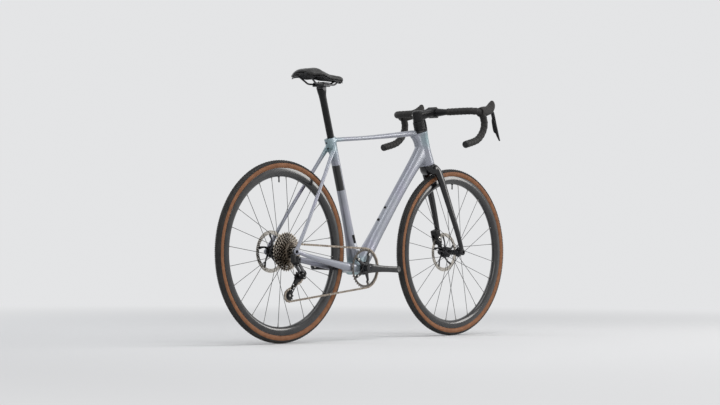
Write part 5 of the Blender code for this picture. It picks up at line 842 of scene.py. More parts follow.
bar_tape = finish("bar_tape", (0.015, 0.014, 0.0135), 0.62, specular=0.3, tones=(
    70, 5, (0.32, (0.011, 0.0105, 0.010)), (0.72, (0.027, 0.025, 0.024))))
tape_uv = node(bar_tape, "UVMap", uv_map="UVMap").outputs["UV"]
evened = node(bar_tape, "Mapping", {"Vector": tape_uv, "Scale": (0.001, 0.092, 1.0)})
dots = node(bar_tape, "TexVoronoi", {"Vector": evened.outputs["Vector"], "Scale": 330.0,
                                     "Randomness": 0.15}).outputs["Distance"]
grip_grain = noise(bar_tape, 900)
gloss(bar_tape, grip_grain, 0.46, 0.72)
pits = raised(bar_tape, between(bar_tape, dots, 0.10, 0.34), 0.00025, 0.6)
raised(bar_tape, grip_grain, 0.00010, 0.5, over=pits)
plug_black = finish("plug_plastic", (0.014, 0.014, 0.015), 0.42, specular=0.3,
                    shine=(300, 0.34, 0.54), grain=(1500, 0.00003, 0.5))

for side, letter in SIDES:
    bm = bmesh.new()
    wrapped = [[x, side * y, z, TAPE_RADIUS] for x, y, z, _ in bar_rows
               if y >= 79 or x > 400 or z < 900]
    swept(bm, wrapped, 26, wrap=(19, 1.2))
    shown(f"wrapped_tape_{letter}", bm, bar_tape, "fork_and_bars", f"bar_tape_{letter}", sharp=60)
    end, before = (Vector((row[0], side * row[1], row[2])) for row in (bar_rows[-1], bar_rows[-6]))
    turned(f"end_plug_{letter}", ((0, 5.2), (6, 5.4), (10.5, 5.6), (13.2, 4.4), (14.2, 2.4),
                                  (14.2, 0.3), (0, 0.3)), end, end - before, 32,
           plug_black, "fork_and_bars", f"bar_end_plug_{letter}")


# Each hood is a moulded rubber cover over the hydraulic lever body, clamped on the bend of
# the bar. The lever's blade turns on a pin in the hood's slot, and a shift paddle lies behind.

LEVER_TURN = radians(12)


def from_bar(ahead, up, out, side):
    """A point in a lever's own plane, which is turned in a little towards its front."""
    forward = Vector((cos(LEVER_TURN), -side * sin(LEVER_TURN), 0))
    outward = Vector((sin(LEVER_TURN), side * cos(LEVER_TURN), 0))
    root = Vector((BAR_CENTRE.x + 60, side * 207, BAR_CENTRE.z + up))
    return root + (ahead - 60) * forward + out * outward


hood_rubber = finish(
    "hood_rubber", (0.019, 0.018, 0.017), 0.62, specular=0.3,
    tones=(80, 4, (0.30, (0.013, 0.012, 0.0115)), (0.75, (0.029, 0.027, 0.025))),
    shine=(300, 0.56, 0.78))
ribs = node(hood_rubber, "TexVoronoi", {"Vector": on_object(hood_rubber), "Scale": 420.0,
                                        "Randomness": 0.2}).outputs["Distance"]
raised(hood_rubber, ribs, 0.00020, 0.5)
lever_black = finish(
    "lever_black", (0.016, 0.016, 0.018), 0.24, metallic=0.65, coat=0.3,
    tones=(90, 3, (0.30, (0.012, 0.012, 0.014)), (0.75, (0.030, 0.030, 0.034))))
gloss(lever_black, noise(lever_black, 260, stretch=(1, 1, 5)), 0.23, 0.30)

BLADE = ((146, 10, 0, 8.5, 5.2), (160, 3, 0, 8.8, 5), (171, -15, 0.5, 8.8, 4.2),
         (179, -40, 2, 9.4, 3.8), (186, -65, 5, 9.2, 3.6), (195, -90, 9, 6.6, 3.2),
         (206, -112, 13, 3.2, 2.6))
for side, letter in SIDES:
    outward = from_bar(0, 0, 1, side) - from_bar(0, 0, 0, side)
    forward = from_bar(1, 0, 0, side) - from_bar(0, 0, 0, side)
    pivot = from_bar(146, 10, 0, side)
    body = bmesh.new()
    lofted(body, [(from_bar(ahead, up, 0, side), wide, high) for ahead, up, wide, high in (
        (45, -4, 17.4, 18.7), (75, 0, 17.7, 21.4), (105, 5, 16.7, 19.2), (130, 12.5, 15.7, 19.2),
        (148, 24, 14.9, 18.2), (156, 37, 12.4, 14.2), (158.5, 48, 6.8, 7.3),
        (158.8, 51.2, 3, 3.2))], 40, 2.3, 48)
    bend = [[x, side * y, z, 15.4] for x, y, z, _ in bar_rows[120:330:2]]
    hood_mesh = moulded(f"hood_cover_{letter}", body, 1.2, 4, tool(swept, bend, 32), tool(
        block, from_bar(162.5, -8.5, 0, side), (51, 19.8, 53), (0, 0, 1), forward))
    shown(f"hood_cover_{letter}", hood_mesh, hood_rubber, "fork_and_bars", f"hood_{letter}")
    shown(f"lever_pin_{letter}", tool(rod, pivot, outward, -12, 12, 2, 20), bright_steel,
          "fork_and_bars")

    body = bmesh.new()
    lofted(body, [(from_bar(ahead, up, out, side), wide, high)
                  for ahead, up, out, wide, high in BLADE], 28, 2.6, 56)
    rod(body, pivot, outward, -8.7, 8.7, 6.6)
    blade_mesh = moulded(f"lever_blade_{letter}", body, 0.8, 12,
                         tool(rod, pivot, outward, -20, 20, 2.3, 20))
    shown(f"lever_blade_{letter}", blade_mesh, lever_black, f"brake_lever_{letter}",
          f"brake_lever_{letter}")

    blade = [from_bar(ahead, up, out, side) - Vector((7.9, 0, 0)) for ahead, up, out, _, _ in BLADE]
    upper, lower = blade[2].lerp(blade[3], 0.30), blade[4].lerp(blade[5], 0.66)
    bm = bmesh.new()
    lofted(bm, [(upper.lerp(lower, share), wide, high) for share, wide, high in (
        (0, 1.8, 1.8), (0.05, 5.2, 3.4), (0.35, 8.8, 3.4), (0.75, 10.5, 3.2), (0.93, 8.5, 3),
        (1, 3, 1.6))], 28, 2.4, 30)
    shown(f"paddle_{letter}", bm, satin_black, f"shift_paddle_{letter}",
          f"shift_paddle_{letter}", sharp=50)


# The seatpost is a drawn tube with a forged head, in satin black. The saddle's rails lie
# between a cradle that tilts on the head and a plate held down by two small screws.

TILT_CENTRE = Vector((-295.134, 0, 972.037))
RAIL_HEIGHT = 985.537


def from_rails(ahead, out, up):
    """A point from the middle of the clamped rails."""
    return Vector((TILT_CENTRE.x + ahead, out, RAIL_HEIGHT + up))


post = bmesh.new()
rod(post, BRACKET, SEAT_UP, 411, 704, 13.7, 48)
lofted(post, [(on_seat_axis(up, forward), wide, long) for up, forward, wide, long in (
    (666, 0, 12.9, 12.9), (694, 0, 14, 13.6), (708, 1, 16, 16.5), (718, 2, 16, 19))], 40, 2.5, 16)
post_mesh = moulded("seatpost_tube", post, 1.2, 4, tool(rod, TILT_CENTRE, LEFT, -30, 30, 11.4, 48))
shown("seatpost_tube", post_mesh, satin_black, "seatpost", "seatpost")

forged_alloy = finish(
    "forged_alloy", (0.30, 0.295, 0.29), 0.36, metallic=1.0,
    tones=(60, 4, (0.30, (0.22, 0.215, 0.21)), (0.75, (0.36, 0.35, 0.34))),
    shine=(500, 0.28, 0.46), grain=(1500, 0.00003, 0.5))


def rail_grooves(bm):
    """The rails' room in a clamp piece."""
    for out in (22, -22):
        rod(bm, from_rails(0, out, 0), Vector((1, 0, 0)), -50, 50, 3.8, 24)


cradle = bmesh.new()
rod(cradle, TILT_CENTRE, LEFT, -16.501, 16.501, 11, 48)
block(cradle, from_rails(0, 0, -4.5), (42, 58, 8.5), edge=2.5)
cradle_mesh = moulded("rail_cradle", cradle, 1.1, 3, tool(rail_grooves))
shown("rail_cradle", cradle_mesh, lever_black, "saddle_clamp", "saddle_cradle")
plate = bmesh.new()
block(plate, from_rails(0, 0, 4.2), (38, 58, 7.8), edge=2.5)
window = bmesh.new()
block(window, from_rails(0, 0, 4), (18, 18, 30), edge=3)
plate_mesh = moulded("rail_clamp_plate", plate, 1.0, 2, tool(rail_grooves), window)
shown("rail_clamp_plate", plate_mesh, lever_black, "saddle_clamp", "saddle_clamp_plate")
bm = bmesh.new()
for ahead in (14.5, -14.5):
    screw(bm, from_rails(ahead, 0, 8), (0, 0, 1), 3.4, 3.4)
shown("clamp_screws", bm, bright_steel, "saddle_clamp")


# The saddle has a foam pad under a smooth black cover with a shallow channel down its middle.
# It is bonded to a nylon shell, and hung on two bent rails of light metal tube.

SADDLE_REAR = -419.134
SADDLE_LENGTH = 245
SADDLE_HALF = 72.5
SADDLE_WIDTHS = ((0, 0.62), (0.06, 0.88), (0.2, 1), (0.36, 0.86), (0.52, 0.5), (0.68, 0.33),
                 (0.85, 0.27), (0.95, 0.22), (1, 0.12))
SADDLE_TOPS = ((0, 48), (0.12, 57), (0.24, 61), (0.42, 53), (0.65, 45), (0.88, 43), (1, 37))


def read_off(table, share):
    """A smooth value between the (share, value) pairs of a table."""
    for (a, low), (b, high) in zip(table, table[1:]):
        if share <= b:
            t = max(share - a, 0.0) / (b - a)
            return low + (high - low) * t * t * (3 - 2 * t)
    return table[-1][1]


def dip(share, y, depth):
    """How deep the channel is at a place of the saddle's top."""
    return depth * max(0.0, 1 - (2 * share - 1.05) ** 2) * exp(-(y / 10) ** 2)


def saddle_layer(bm, top_sink, low_sink, columns, rows, channel=0.0):
    """A closed layer of the saddle between two depths."""
    bmesh.ops.create_grid(bm, x_segments=rows, y_segments=columns, size=1.0)
    lower = set(verts_in(bmesh.ops.extrude_face_region(bm, geom=bm.faces[:])["geom"]))
    for v in bm.verts:
        share, across = (v.co.x + 1) / 2, v.co.y
        sink = low_sink if v in lower else top_sink
        if v in lower and abs(across) > 0.9:
            sink -= 1.5
        half = SADDLE_HALF * read_off(SADDLE_WIDTHS, share) - 0.4 * sink
        y = across * half
        fall = 26 * abs(across) ** 3.2 * (0.45 + half / (2 * SADDLE_HALF))
        ends = 9 * across ** 2 * ((1 - share) ** 8 - 0.5 * share ** 12)
        v.co = (SADDLE_REAR + share * SADDLE_LENGTH + ends, y,
                RAIL_HEIGHT + read_off(SADDLE_TOPS, share) - fall - dip(share, y, channel) - sink)
    bmesh.ops.recalc_face_normals(bm, faces=bm.faces)


saddle_cover = finish(
    "saddle_cover", (0.014, 0.0135, 0.013), 0.42, specular=0.3,
    tones=(50, 5, (0.30, (0.009, 0.009, 0.009)), (0.75, (0.022, 0.021, 0.020))),
    shine=(120, 0.36, 0.54))
leather = node(saddle_cover, "TexVoronoi", {"Vector": on_object(saddle_cover), "Scale": 950.0},
               feature="DISTANCE_TO_EDGE").outputs["Distance"]
creases = raised(saddle_cover, noise(saddle_cover, 60), 0.0004, 0.3)
raised(saddle_cover, leather, 0.00010, 0.5, over=creases)
into(saddle_cover, "Sheen Weight", 0.05)


def puffed(padding, voxel, pressure, most):
    """Swells a pad with the cloth solver, in metres, its underside held, and caps how far a
    point moves.
    """
    skin = padding.modifiers.new("skin", "REMESH")
    skin.mode = "VOXEL"
    skin.voxel_size = voxel
    packed = as_drawn(padding)
    padding.modifiers.clear()
    padding.data = packed
    still = [v.co.copy() for v in packed.vertices]
    held = padding.vertex_groups.new(name="held")
    held.add([v.index for v in packed.vertices if v.normal.z < 0.15], 1.0, "REPLACE")
    swell = padding.modifiers.new("swell", "CLOTH")
    swell.settings.use_pressure = True
    swell.settings.uniform_pressure_force = pressure
    swell.settings.vertex_group_mass = "held"
    swell.settings.effector_weights.gravity = 0.0
    swell.settings.quality = 5
    for frame_number in range(1, 21):
        bpy.context.scene.frame_set(frame_number)
    swollen = padding.evaluated_get(bpy.context.evaluated_depsgraph_get())
    moved = [v.co.copy() for v in swollen.data.vertices]
    padding.modifiers.clear()
    bpy.context.scene.frame_set(1)
    for v, start, end in zip(packed.vertices, still, moved):
        step = end - start
        v.co = start + step * min(1.0, most / max(step.length, 1e-9))


foam = placed("saddle_foam", meshed("saddle_foam", tool(saddle_layer, 1.2, 10.6, 30, 50)))
foam.data.transform(Matrix.Scale(0.001, 4))
puffed(foam, 0.0040, 4.0, 0.0016)
foam.data.transform(Matrix.Scale(1000, 4))
bm = bmesh.new()
bm.from_mesh(foam.data)
bpy.data.objects.remove(foam, do_unlink=True)
bmesh.ops.subdivide_edges(bm, edges=bm.edges[:], cuts=1, use_grid_fill=True)
for _ in range(3):
    bmesh.ops.smooth_vert(bm, verts=bm.verts[:], factor=0.5, use_axis_x=True, use_axis_y=True,
                          use_axis_z=True)
# The channel is pressed into the foam after it has swelled, and a seam runs along each side
for v in bm.verts:
    share = (v.co.x - SADDLE_REAR) / SADDLE_LENGTH
    if v.normal.z > 0.1 and 0 < share < 1:
        half = SADDLE_HALF * read_off(SADDLE_WIDTHS, share)
        seam = abs(v.co.y) / max(half, 10)
        v.co.z -= dip(share, v.co.y, 5.8) + 0.9 * exp(-((seam - 0.80) / 0.022) ** 2)
pad = shown("saddle_pad_cover", bm, saddle_cover, "saddle", "saddle_pad", sharp=70)

shell_nylon = finish(
    "shell_nylon", (0.012, 0.012, 0.013), 0.46, specular=0.3,
    tones=(45, 3, (0.30, (0.009, 0.009, 0.010)), (0.75, (0.018, 0.018, 0.020))),
    shine=(200, 0.38, 0.56), grain=(1400, 0.00004, 0.6))
bm = tool(saddle_layer, 11.3, 14.3, 26, 44, 6)
for out in (28.5, -28.5):
    block(bm, from_rails(-112, out, 33), (18, 14, 12), edge=2.5)
block(bm, from_rails(97.5, 0, 24), (20, 20, 11), edge=2.5)
shown("saddle_base", bm, shell_nylon, "saddle", "saddle_shell", sharp=45)

RAIL_ROUTE = ((-112, 34, 30), (-96, 30, 26), (-70, 24, 10), (-52, 22, 0.5), (-30, 22, 0),
              (30, 22, 0), (48, 21, 1), (68, 15, 8), (84, 10, 17), (97, 5.5, 21.5))
bm = bmesh.new()
for side, _ in SIDES:
    swept(bm, flowing([[*from_rails(ahead, side * out, up), 3.5]
                       for ahead, out, up in RAIL_ROUTE], 90), 20)
shown("rails", bm, lever_black, "saddle", "saddle_rails", sharp=50, slot="steel")


# Each hub is a turned black alloy shell with two spoke flanges. Twenty-four thin black steel
# spokes, crossed twice, are drawn tight to the rim by silver nipples.

hub_black = finish(
    "hub_black", (0.020, 0.020, 0.023), 0.26, metallic=0.75,
    tones=(80, 3, (0.30, (0.016, 0.016, 0.018)), (0.75, (0.034, 0.034, 0.038))),
    shine=(220, 0.20, 0.38))
raised(hub_black, waves(hub_black, 260, "Y"), 0.00003, 0.4)
spoke_black = finish(
    "spoke_black", (0.030, 0.030, 0.032), 0.30, metallic=0.85,
    tones=(30, 3, (0.30, (0.022, 0.022, 0.024)), (0.75, (0.045, 0.045, 0.048))),
    shine=(150, 0.24, 0.42))

# A hub's profile, then how far out each flange stands and its spoke holes' radius
HUBS = {
    "rear": (((6.4, 70.7), (8.8, 70.7), (9.2, 70), (9.2, 61.2), (12, 60.4), (16, 60), (16.5, 59.4),
              (16.5, 49.2), (15, 48), (13.8, 44), (13.5, 39), (16, 36.2), (23.2, 35), (24, 34.4),
              (24, 31.6), (23.2, 31), (15.5, 29), (13, 26.2), (12.2, 10), (12.4, -6), (15, -12),
              (21, -16.5), (25.4, -17.7), (26, -18.2), (26, -20.8), (25.4, -21.3), (20, -22),
              (16, -23), (10.1, -23.4), (9.9, -66), (9.2, -67.2), (9.2, -70.7), (6.4, -70.7)),
             (33, 21.5), (19.5, 23.5)),
    "front": (((6.4, 50), (8.8, 50), (9.2, 49.5), (9.2, 46.2), (12, 45.4), (16, 45), (16.5, 44.4),
               (16.5, 34.2), (15, 33), (12.5, 29), (13, 26.2), (20.7, 23.6), (21.5, 23), (21.5, 20),
               (20.7, 19.4), (13, 16.5), (11, 14), (10.4, -6), (11, -27), (12.5, -30.5),
               (18.8, -34), (19.5, -34.6), (19.5, -37.4), (18.8, -38), (12.5, -40.5), (11, -42),
               (9.4, -43), (9.2, -44), (9.2, -49.5), (8.8, -50), (6.4, -50)),
              (21.5, 19), (36, 17)),
}
SPOKE_COUNT = 24
for wheel, (profile, left_flange, right_flange) in HUBS.items():
    centre, body = WHEELS[wheel], f"{wheel}_wheel"
    turned(f"{wheel}_hub_shell", profile, centre, LEFT, 60, hub_black, body, f"{wheel}_hub")
    spokes, nipples = bmesh.new(), bmesh.new()
    first = VALVE_ANGLES[wheel] - tau / (2 * SPOKE_COUNT)
    for k in range(SPOKE_COUNT):
        side, (flange_out, flange_radius) = (1, left_flange) if k % 2 else (-1, right_flange)
        leading = 1 if (k // 2) % 2 else -1
        angle = first + tau * k / SPOKE_COUNT
        start = centre + flange_radius * outwards(angle + leading * 4 * tau / SPOKE_COUNT)
        start += (side * flange_out + leading * 2.6) * LEFT
        end = centre + 281.2 * outwards(angle) + side * 2.5 * LEFT
        length = (end - start).length
        way = (end - start) / length
        rod(spokes, start, way, 0, length - 4, 1.05, 8)
        rod(spokes, start, leading * LEFT, 0.6, -5.6, 1.15, 8)
        rod(spokes, start, leading * LEFT, -5, -6.2, 2.1, 8)
        rod(nipples, end, way, -12.5, -4, 1.75, 8)
        rod(nipples, end, way, -4, 0, 2.4, 8)
    shown(f"{wheel}_spokes", spokes, spoke_black, body, sharp=50)
    shown(f"{wheel}_nipples", nipples, forged_alloy, body, sharp=50)


# The brakes: a drilled steel disc on a black alloy carrier at each hub's left, squeezed by
# two pads in a hydraulic caliper. The front one is on the fork blade, the rear on the stay.

disc_steel = finish(
    "disc_steel", (0.40, 0.370, 0.33), 0.28, metallic=1.0,
    tones=(35, 4, (0.30, (0.33, 0.305, 0.270)), (0.75, (0.48, 0.450, 0.405))))
grinding = noise(disc_steel, 700, 2)
gloss(disc_steel, grinding, 0.20, 0.38)
raised(disc_steel, grinding, 0.00001, 0.5)

DISC_RADIUS = 80
DISC_THICKNESS = 1.8
DISC_BREAKAWAY = 66
PISTON_FACE = 14.9
# Where the disc stands, the body that carries the caliper, the ways along and off its mount,
# and the caliper's two ends along and two faces off it
CALIPERS = {
    "front": (40, "fork_and_bars", STEER_UP, -STEER_FORWARD, 44, 106, 13.8, 45),
    "rear": (55, "chassis", STAY_ALONG, STAY_NORMAL, 36, 100, 6.8, 44),
}


def washer(bm, centre, outer, inner, thickness, steps):
    """A flat ring across the bike."""
    half = thickness / 2
    spun(bm, ((outer, -half), (outer, half), (inner, half), (inner, -half)), centre, LEFT, steps)


for wheel, (disc_out, carrier, along, off, first, last, near, away) in CALIPERS.items():
    centre, body = WHEELS[wheel] + disc_out * LEFT, f"{wheel}_wheel"
    track, holes = bmesh.new(), bmesh.new()
    washer(track, centre, DISC_RADIUS, DISC_RADIUS - 15, DISC_THICKNESS, 120)
    for k in range(60):
        for row, radius in enumerate((68.3, 72.7, 76.9)):
            if (k + row) % 3:
                hole = centre + radius * outwards(tau * (k + 0.30 * row) / 60)
                rod(holes, hole, LEFT, -4, 4, 1.65, 8)
    track_mesh = moulded(f"{wheel}_disc_track", track, None, 0, holes, sharp=35)
    shown(f"{wheel}_disc_track", track_mesh, disc_steel, body, f"{wheel}_rotor")
    bm = bmesh.new()
    washer(bm, centre, 22.8, 16.8, 3, 60)
    for k in range(5):
        way, lean = outwards(tau * k / 5), outwards(tau * k / 5 + 0.42)
        rivet = centre + DISC_BREAKAWAY * lean
        lofted(bm, [(centre + 20.5 * way, 1.1, 6.2), (centre + 42 * way.lerp(lean, 0.5), 1.1, 3.4),
                    (rivet, 1, 6)], 12, 4.0, 8)
        rod(bm, rivet, LEFT, -1.1, 1.1, 3.6, 16)
    shown(f"{wheel}_disc_carrier", bm, hub_black, body)
    bm = bmesh.new()
    spun(bm, ((15, 1.6), (15, 4), (19.6, 4), (20.4, 3.2), (20.4, 1.6)), centre, LEFT, 48)
    for k in range(16):
        way = outwards(tau * k / 16)
        block(bm, centre + 20.4 * way + 2.8 * LEFT, (2.6, 2.2, 2.6), way.cross(LEFT), way)
    shown(f"{wheel}_lock_ring", bm, satin_black, body)

    middle = centre + (first + last) / 2 * along + (near + away) / 2 * off
    piston = centre + 71 * (middle - centre).normalized()
    caliper, bolts = bmesh.new(), bmesh.new()
    block(caliper, middle, (last - first, 30, away - near), off, along, 4.8)
    for share in (0.12, 0.88):
        bolt = centre + (first + share * (last - first)) * along + (away - 3.5) * off
        screw(bolts, bolt + 9.8 * LEFT, off, 4, 3)
    for side, _ in SIDES:
        rod(caliper, piston, side * LEFT, 7, PISTON_FACE, 12.8, 36)
        spun(bolts, ((0, -1), (9.8, -1), (9.8, -0.4), (9, 0.1), (5, 0.1), (5, -0.3), (0, -0.3)),
             piston + side * PISTON_FACE * LEFT, side * LEFT, 32)
    caliper_mesh = moulded(
        f"{wheel}_caliper_body", caliper, 1.2, 3, tool(rod, centre, LEFT, -5.35, 5.35, 81.5, 72),
        tool(block, middle + 14 * off, (26, 11, 20), off, along, 1.5),
        tool(block, middle - 15.5 * off, (30, 10.5, 16), off, along))
    shown(f"{wheel}_caliper_body", caliper_mesh, satin_black, carrier, f"{wheel}_caliper")
    shown(f"{wheel}_caliper_bolts", bolts, bright_steel, carrier)

pad_metal = finish(
    "pad_metal", (0.20, 0.15, 0.11), 0.70, metallic=0.3,
    tones=(900, 4, (0.30, (0.11, 0.080, 0.060)), (0.70, (0.26, 0.20, 0.15))),
    shine=(500, 0.60, 0.85), grain=(1200, 0.00008, 0.7))
for wheel in WHEELS:
    for side in ("inner", "outer"):
        dress(f"{wheel}_brake_pad_{side}", pad_metal)


# The chain has 114 links, inner and outer in turn: two stamped plates each, with a roller
# on every pin. It runs over the chainring, the fifth sprocket and the derailleur's pulleys.

CHAIN_PITCH = 12.7
CHAIN_LINKS = 114
SPROCKET_Y = -51.3
RING_CENTRE = BRACKET - 45 * LEFT
RING_TEETH, PULLEY_TEETH = 38, 11
GUIDE_CENTRE = Vector((-472.038, SPROCKET_Y, 249.094))
TENSION_CENTRE = Vector((-522.120, SPROCKET_Y, 180.369))
# Each wheel that the chain meets: centre, teeth, turning sense
CHAIN_WHEELS = ((RING_CENTRE, RING_TEETH, 1), (REAR_AXLE + SPROCKET_Y * LEFT, 15, 1),
                (GUIDE_CENTRE, PULLEY_TEETH, -1), (TENSION_CENTRE, PULLEY_TEETH, 1))


def pitch_radius(teeth):
    return CHAIN_PITCH / (2 * sin(pi / teeth))


def path_radius(teeth):
    return teeth * CHAIN_PITCH / tau


chain_runs = []
for (here, teeth, sense), (there, next_teeth, next_sense) in zip(
        CHAIN_WHEELS, CHAIN_WHEELS[1:] + CHAIN_WHEELS[:1]):
    gap = Vector((there.x - here.x, 0, there.z - here.z))
    difference = sense * path_radius(teeth) - next_sense * path_radius(next_teeth)
    straight = sqrt(gap.length_squared - difference ** 2)
    chain_runs.append((atan2(gap.z, gap.x) + atan2(difference, straight), straight))
chain_pins, first_pin_angles = [], []
travelled, started = 0.0, 0.0
for k, (middle, teeth, sense) in enumerate(CHAIN_WHEELS):
    arriving, (leaving, straight) = chain_runs[k - 1][0], chain_runs[k]
    radius = path_radius(teeth)
    arc = radius * ((sense * (leaving - arriving)) % tau)
    first_pin_angles.append(arriving + sense * ((travelled - started) / radius - pi / 2))
    while travelled < started + arc:
        turn = arriving + sense * ((travelled - started) / radius - pi / 2)
        chain_pins.append(middle + pitch_radius(teeth) * outwards(turn))
        travelled += CHAIN_PITCH
    started += arc
    ahead = outwards(leaving)
    away = middle + radius * sense * Vector((ahead.z, 0, -ahead.x))
    shift = CHAIN_WHEELS[(k + 1) % 4][0].y - middle.y
    while travelled < started + straight - 0.001:
        t = (travelled - started) / straight
        chain_pins.append(away + (travelled - started) * ahead + shift * t * t * (3 - 2 * t) * LEFT)
        travelled += CHAIN_PITCH
    started += straight
chain_pins = chain_pins[:CHAIN_LINKS]

chain_steel = finish(
    "chain_steel", (0.30, 0.255, 0.21), 0.30, metallic=1.0,
    tones=(130, 4, (0.30, (0.17, 0.140, 0.115)), (0.55, (0.32, 0.275, 0.23)),
           (0.78, (0.50, 0.45, 0.39))),
    shine=(260, 0.20, 0.44), grain=(900, 0.00003, 0.5))


def thickened(bm, faces, way):
    """Draws faces out into a plate; returns the points of its far side."""
    far = verts_in(bmesh.ops.extrude_face_region(bm, geom=faces)["geom"])
    bmesh.ops.translate(bm, verts=far, vec=way)
    return far


def side_plate(bm, y, thickness, end_radius, waist):
    """A chain side plate: two round ends, drawn in between them."""
    half = CHAIN_PITCH / 2
    outline = bmesh.ops.create_circle(bm, segments=20, radius=1.0, cap_ends=True)["verts"]
    for v in outline:
        x = v.co.x * (half + end_radius)
        beyond = abs(x) - half
        if beyond > 0:
            high = sqrt(max(end_radius ** 2 - beyond ** 2, 0))
        else:
            high = end_radius * (waist + (1 - waist) * (x / half) ** 2)
        v.co = (x, y, copysign(high, v.co.y) if high else 0)
    thickened(bm, outline[0].link_faces[:], (0, thickness, 0))


bm = bmesh.new()
patterns = []
for near, far, reach, radius in ((1.15, 1.8, 1.12, 3.8), (1.8, 2.45, 2.8, 1.8)):
    others = set(bm.verts)
    side_plate(bm, near, far - near, 4.1, 0.74)
    side_plate(bm, -far, far - near, 4.1, 0.74)
    for end in (-CHAIN_PITCH / 2, CHAIN_PITCH / 2):
        rod(bm, (end, 0, 0), LEFT, -reach, reach, radius, 10)
    patterns.append([v for v in bm.verts if v not in others])
for k, start in enumerate(chain_pins):
    end = chain_pins[(k + 1) % CHAIN_LINKS]
    along = (end - start).normalized()
    place = Matrix((along, LEFT, along.cross(LEFT))).transposed().to_4x4()
    place.translation = (start + end) / 2
    faces = list({f for v in patterns[k % 2] for f in v.link_faces})
    copied = bmesh.ops.duplicate(bm, geom=faces)["geom"]
    bmesh.ops.transform(bm, verts=verts_in(copied), matrix=place)
bmesh.ops.delete(bm, geom=patterns[0] + patterns[1], context="VERTS")
bmesh.ops.recalc_face_normals(bm, faces=bm.faces)
shown("chain_links", bm, chain_steel, "chassis", "chain", sharp=30)


# The cassette has twelve steel sprockets on a stepped core, the large ones pierced to save
# weight. The chainring is a single machined ring, bolted to the crank's five-armed spider.

ROLLER_RADIUS = 3.9


def toothed(bm, centre, teeth, inner, thickness, first_pin, tip):
    """A toothed ring across the bike, with a hollow for a roller at every pin."""
    heights = (0, 0.05, 0.36, 0.84, 1, 0.84, 0.36, 0.05)
    count = len(heights) * teeth
    root = pitch_radius(teeth) - ROLLER_RADIUS
    rim = bmesh.ops.create_circle(bm, segments=count, radius=1.0)["verts"]
    hole = bmesh.ops.create_circle(bm, segments=count, radius=0.5)["verts"]
    edges = list({e for v in rim + hole for e in v.link_edges})
    near = centre - thickness / 2 * LEFT
    for k, (outside, inside) in enumerate(zip(rim, hole)):
        way = outwards(first_pin + tau * k / count)
        outside.co = near + (root + (ROLLER_RADIUS + tip) * heights[k % len(heights)]) * way
        inside.co = near + inner * way
    ring = bmesh.ops.bridge_loops(bm, edges=edges)["faces"]
    far = thickened(bm, ring, (0, thickness, 0))
    for v in rim + far:
        if hypot(v.co.x - centre.x, v.co.z - centre.z) > root + 4:
            v.co.y += 0.28 * (centre.y - v.co.y)
    skin = {f for v in rim + hole + far for f in v.link_faces}
    bmesh.ops.recalc_face_normals(bm, faces=list(skin))


CASSETTE_TEETH = (10, 11, 12, 13, 15, 17, 19, 21, 24, 28, 32, 36)
SPROCKET_STEP = 3.55
FIRST_SPROCKET_Y = -65.5
# The sprockets' colour holds painted light: the teeth are painted bright, a painted highlight, and
# further in the rings are painted dark, a painted shade between them.
sprocket_steel = finish("sprocket_steel", (0.30, 0.26, 0.22), 0.28, metallic=1.0)
moved = node(sprocket_steel, "VectorMath", {0: on_object(sprocket_steel), 1: -REAR_AXLE / 1000})
parts = node(sprocket_steel, "SeparateXYZ", {0: moved.outputs[0]}).outputs
squares = maths(sprocket_steel, "MULTIPLY_ADD", parts["Z"], parts["Z"],
                maths(sprocket_steel, "MULTIPLY", parts["X"], parts["X"]))
across = between(sprocket_steel, parts["Y"], FIRST_SPROCKET_Y / 1000,
                 (FIRST_SPROCKET_Y + 11 * SPROCKET_STEP) / 1000)
tips = ramp(sprocket_steel, across, *[(k / 11, (pitch_radius(teeth) / 1000,) * 3)
                                      for k, teeth in enumerate(CASSETTE_TEETH)])
inward = maths(sprocket_steel, "SUBTRACT", tips, maths(sprocket_steel, "SQRT", squares))
speckle = noise(sprocket_steel, 420)
# A painted highlight on the teeth fades into painted shade further in, by depth below each
# sprocket's tips, broken by a speckle.
shine = between(sprocket_steel, inward, -0.0005, 0.0075)
shine = maths(sprocket_steel, "MULTIPLY_ADD", shine, speckle, -0.25)
shine = maths(sprocket_steel, "ADD", shine, speckle)
into(sprocket_steel, "Base Color", ramp(
    sprocket_steel, shine, (0.10, (0.66, 0.60, 0.52)), (0.30, (0.42, 0.37, 0.31)),
    (0.62, (0.050, 0.041, 0.034))))
gloss(sprocket_steel, speckle, 0.16, 0.40)

CORE_RADII = (14.2,) * 4 + (20,) * 3 + (29,) * 3 + (45,) * 2
# The windows of the larger sprockets: how many, how far out and their radius
WINDOWS = {7: (10, 33.5, 2.4), 8: (12, 37, 3.6), 9: (12, 41.5, 5), 10: (16, 53, 4),
           11: (14, 57.5, 5.8)}
DRIVEN = 4
rings, windows = bmesh.new(), bmesh.new()
for k, teeth in enumerate(CASSETTE_TEETH):
    centre = REAR_AXLE + (FIRST_SPROCKET_Y + SPROCKET_STEP * k) * LEFT
    first = first_pin_angles[1] if k == DRIVEN else 0.3 * k + pi / teeth
    toothed(rings, centre, teeth, CORE_RADII[k] - 2, 1.6, first, 2.4 if k == DRIVEN else 1.7)
    count, radius, size = WINDOWS.get(k, (0, 0, 0))
    for j in range(count):
        way = outwards(tau * (j + 0.5 * (k % 2)) / count)
        rod(windows, centre + radius * way, LEFT, -1.5, 1.5, size, 14)
shown("sprockets", moulded("sprockets", rings, None, 0, windows, sharp=35), sprocket_steel,
      "cassette", "cassette")
turned("cassette_core", (
    (10.4, -26.9), (45, -26.9), (45, -29.8), (44.4, -30.4), (40, -30.8), (29, -33.6), (29, -40.5),
    (28.4, -41.1), (20, -44), (20, -51.2), (19.4, -51.8), (14.6, -53), (14.2, -53.6), (14.2, -66),
    (10.4, -66)), REAR_AXLE, LEFT, 60, hub_black, "cassette")
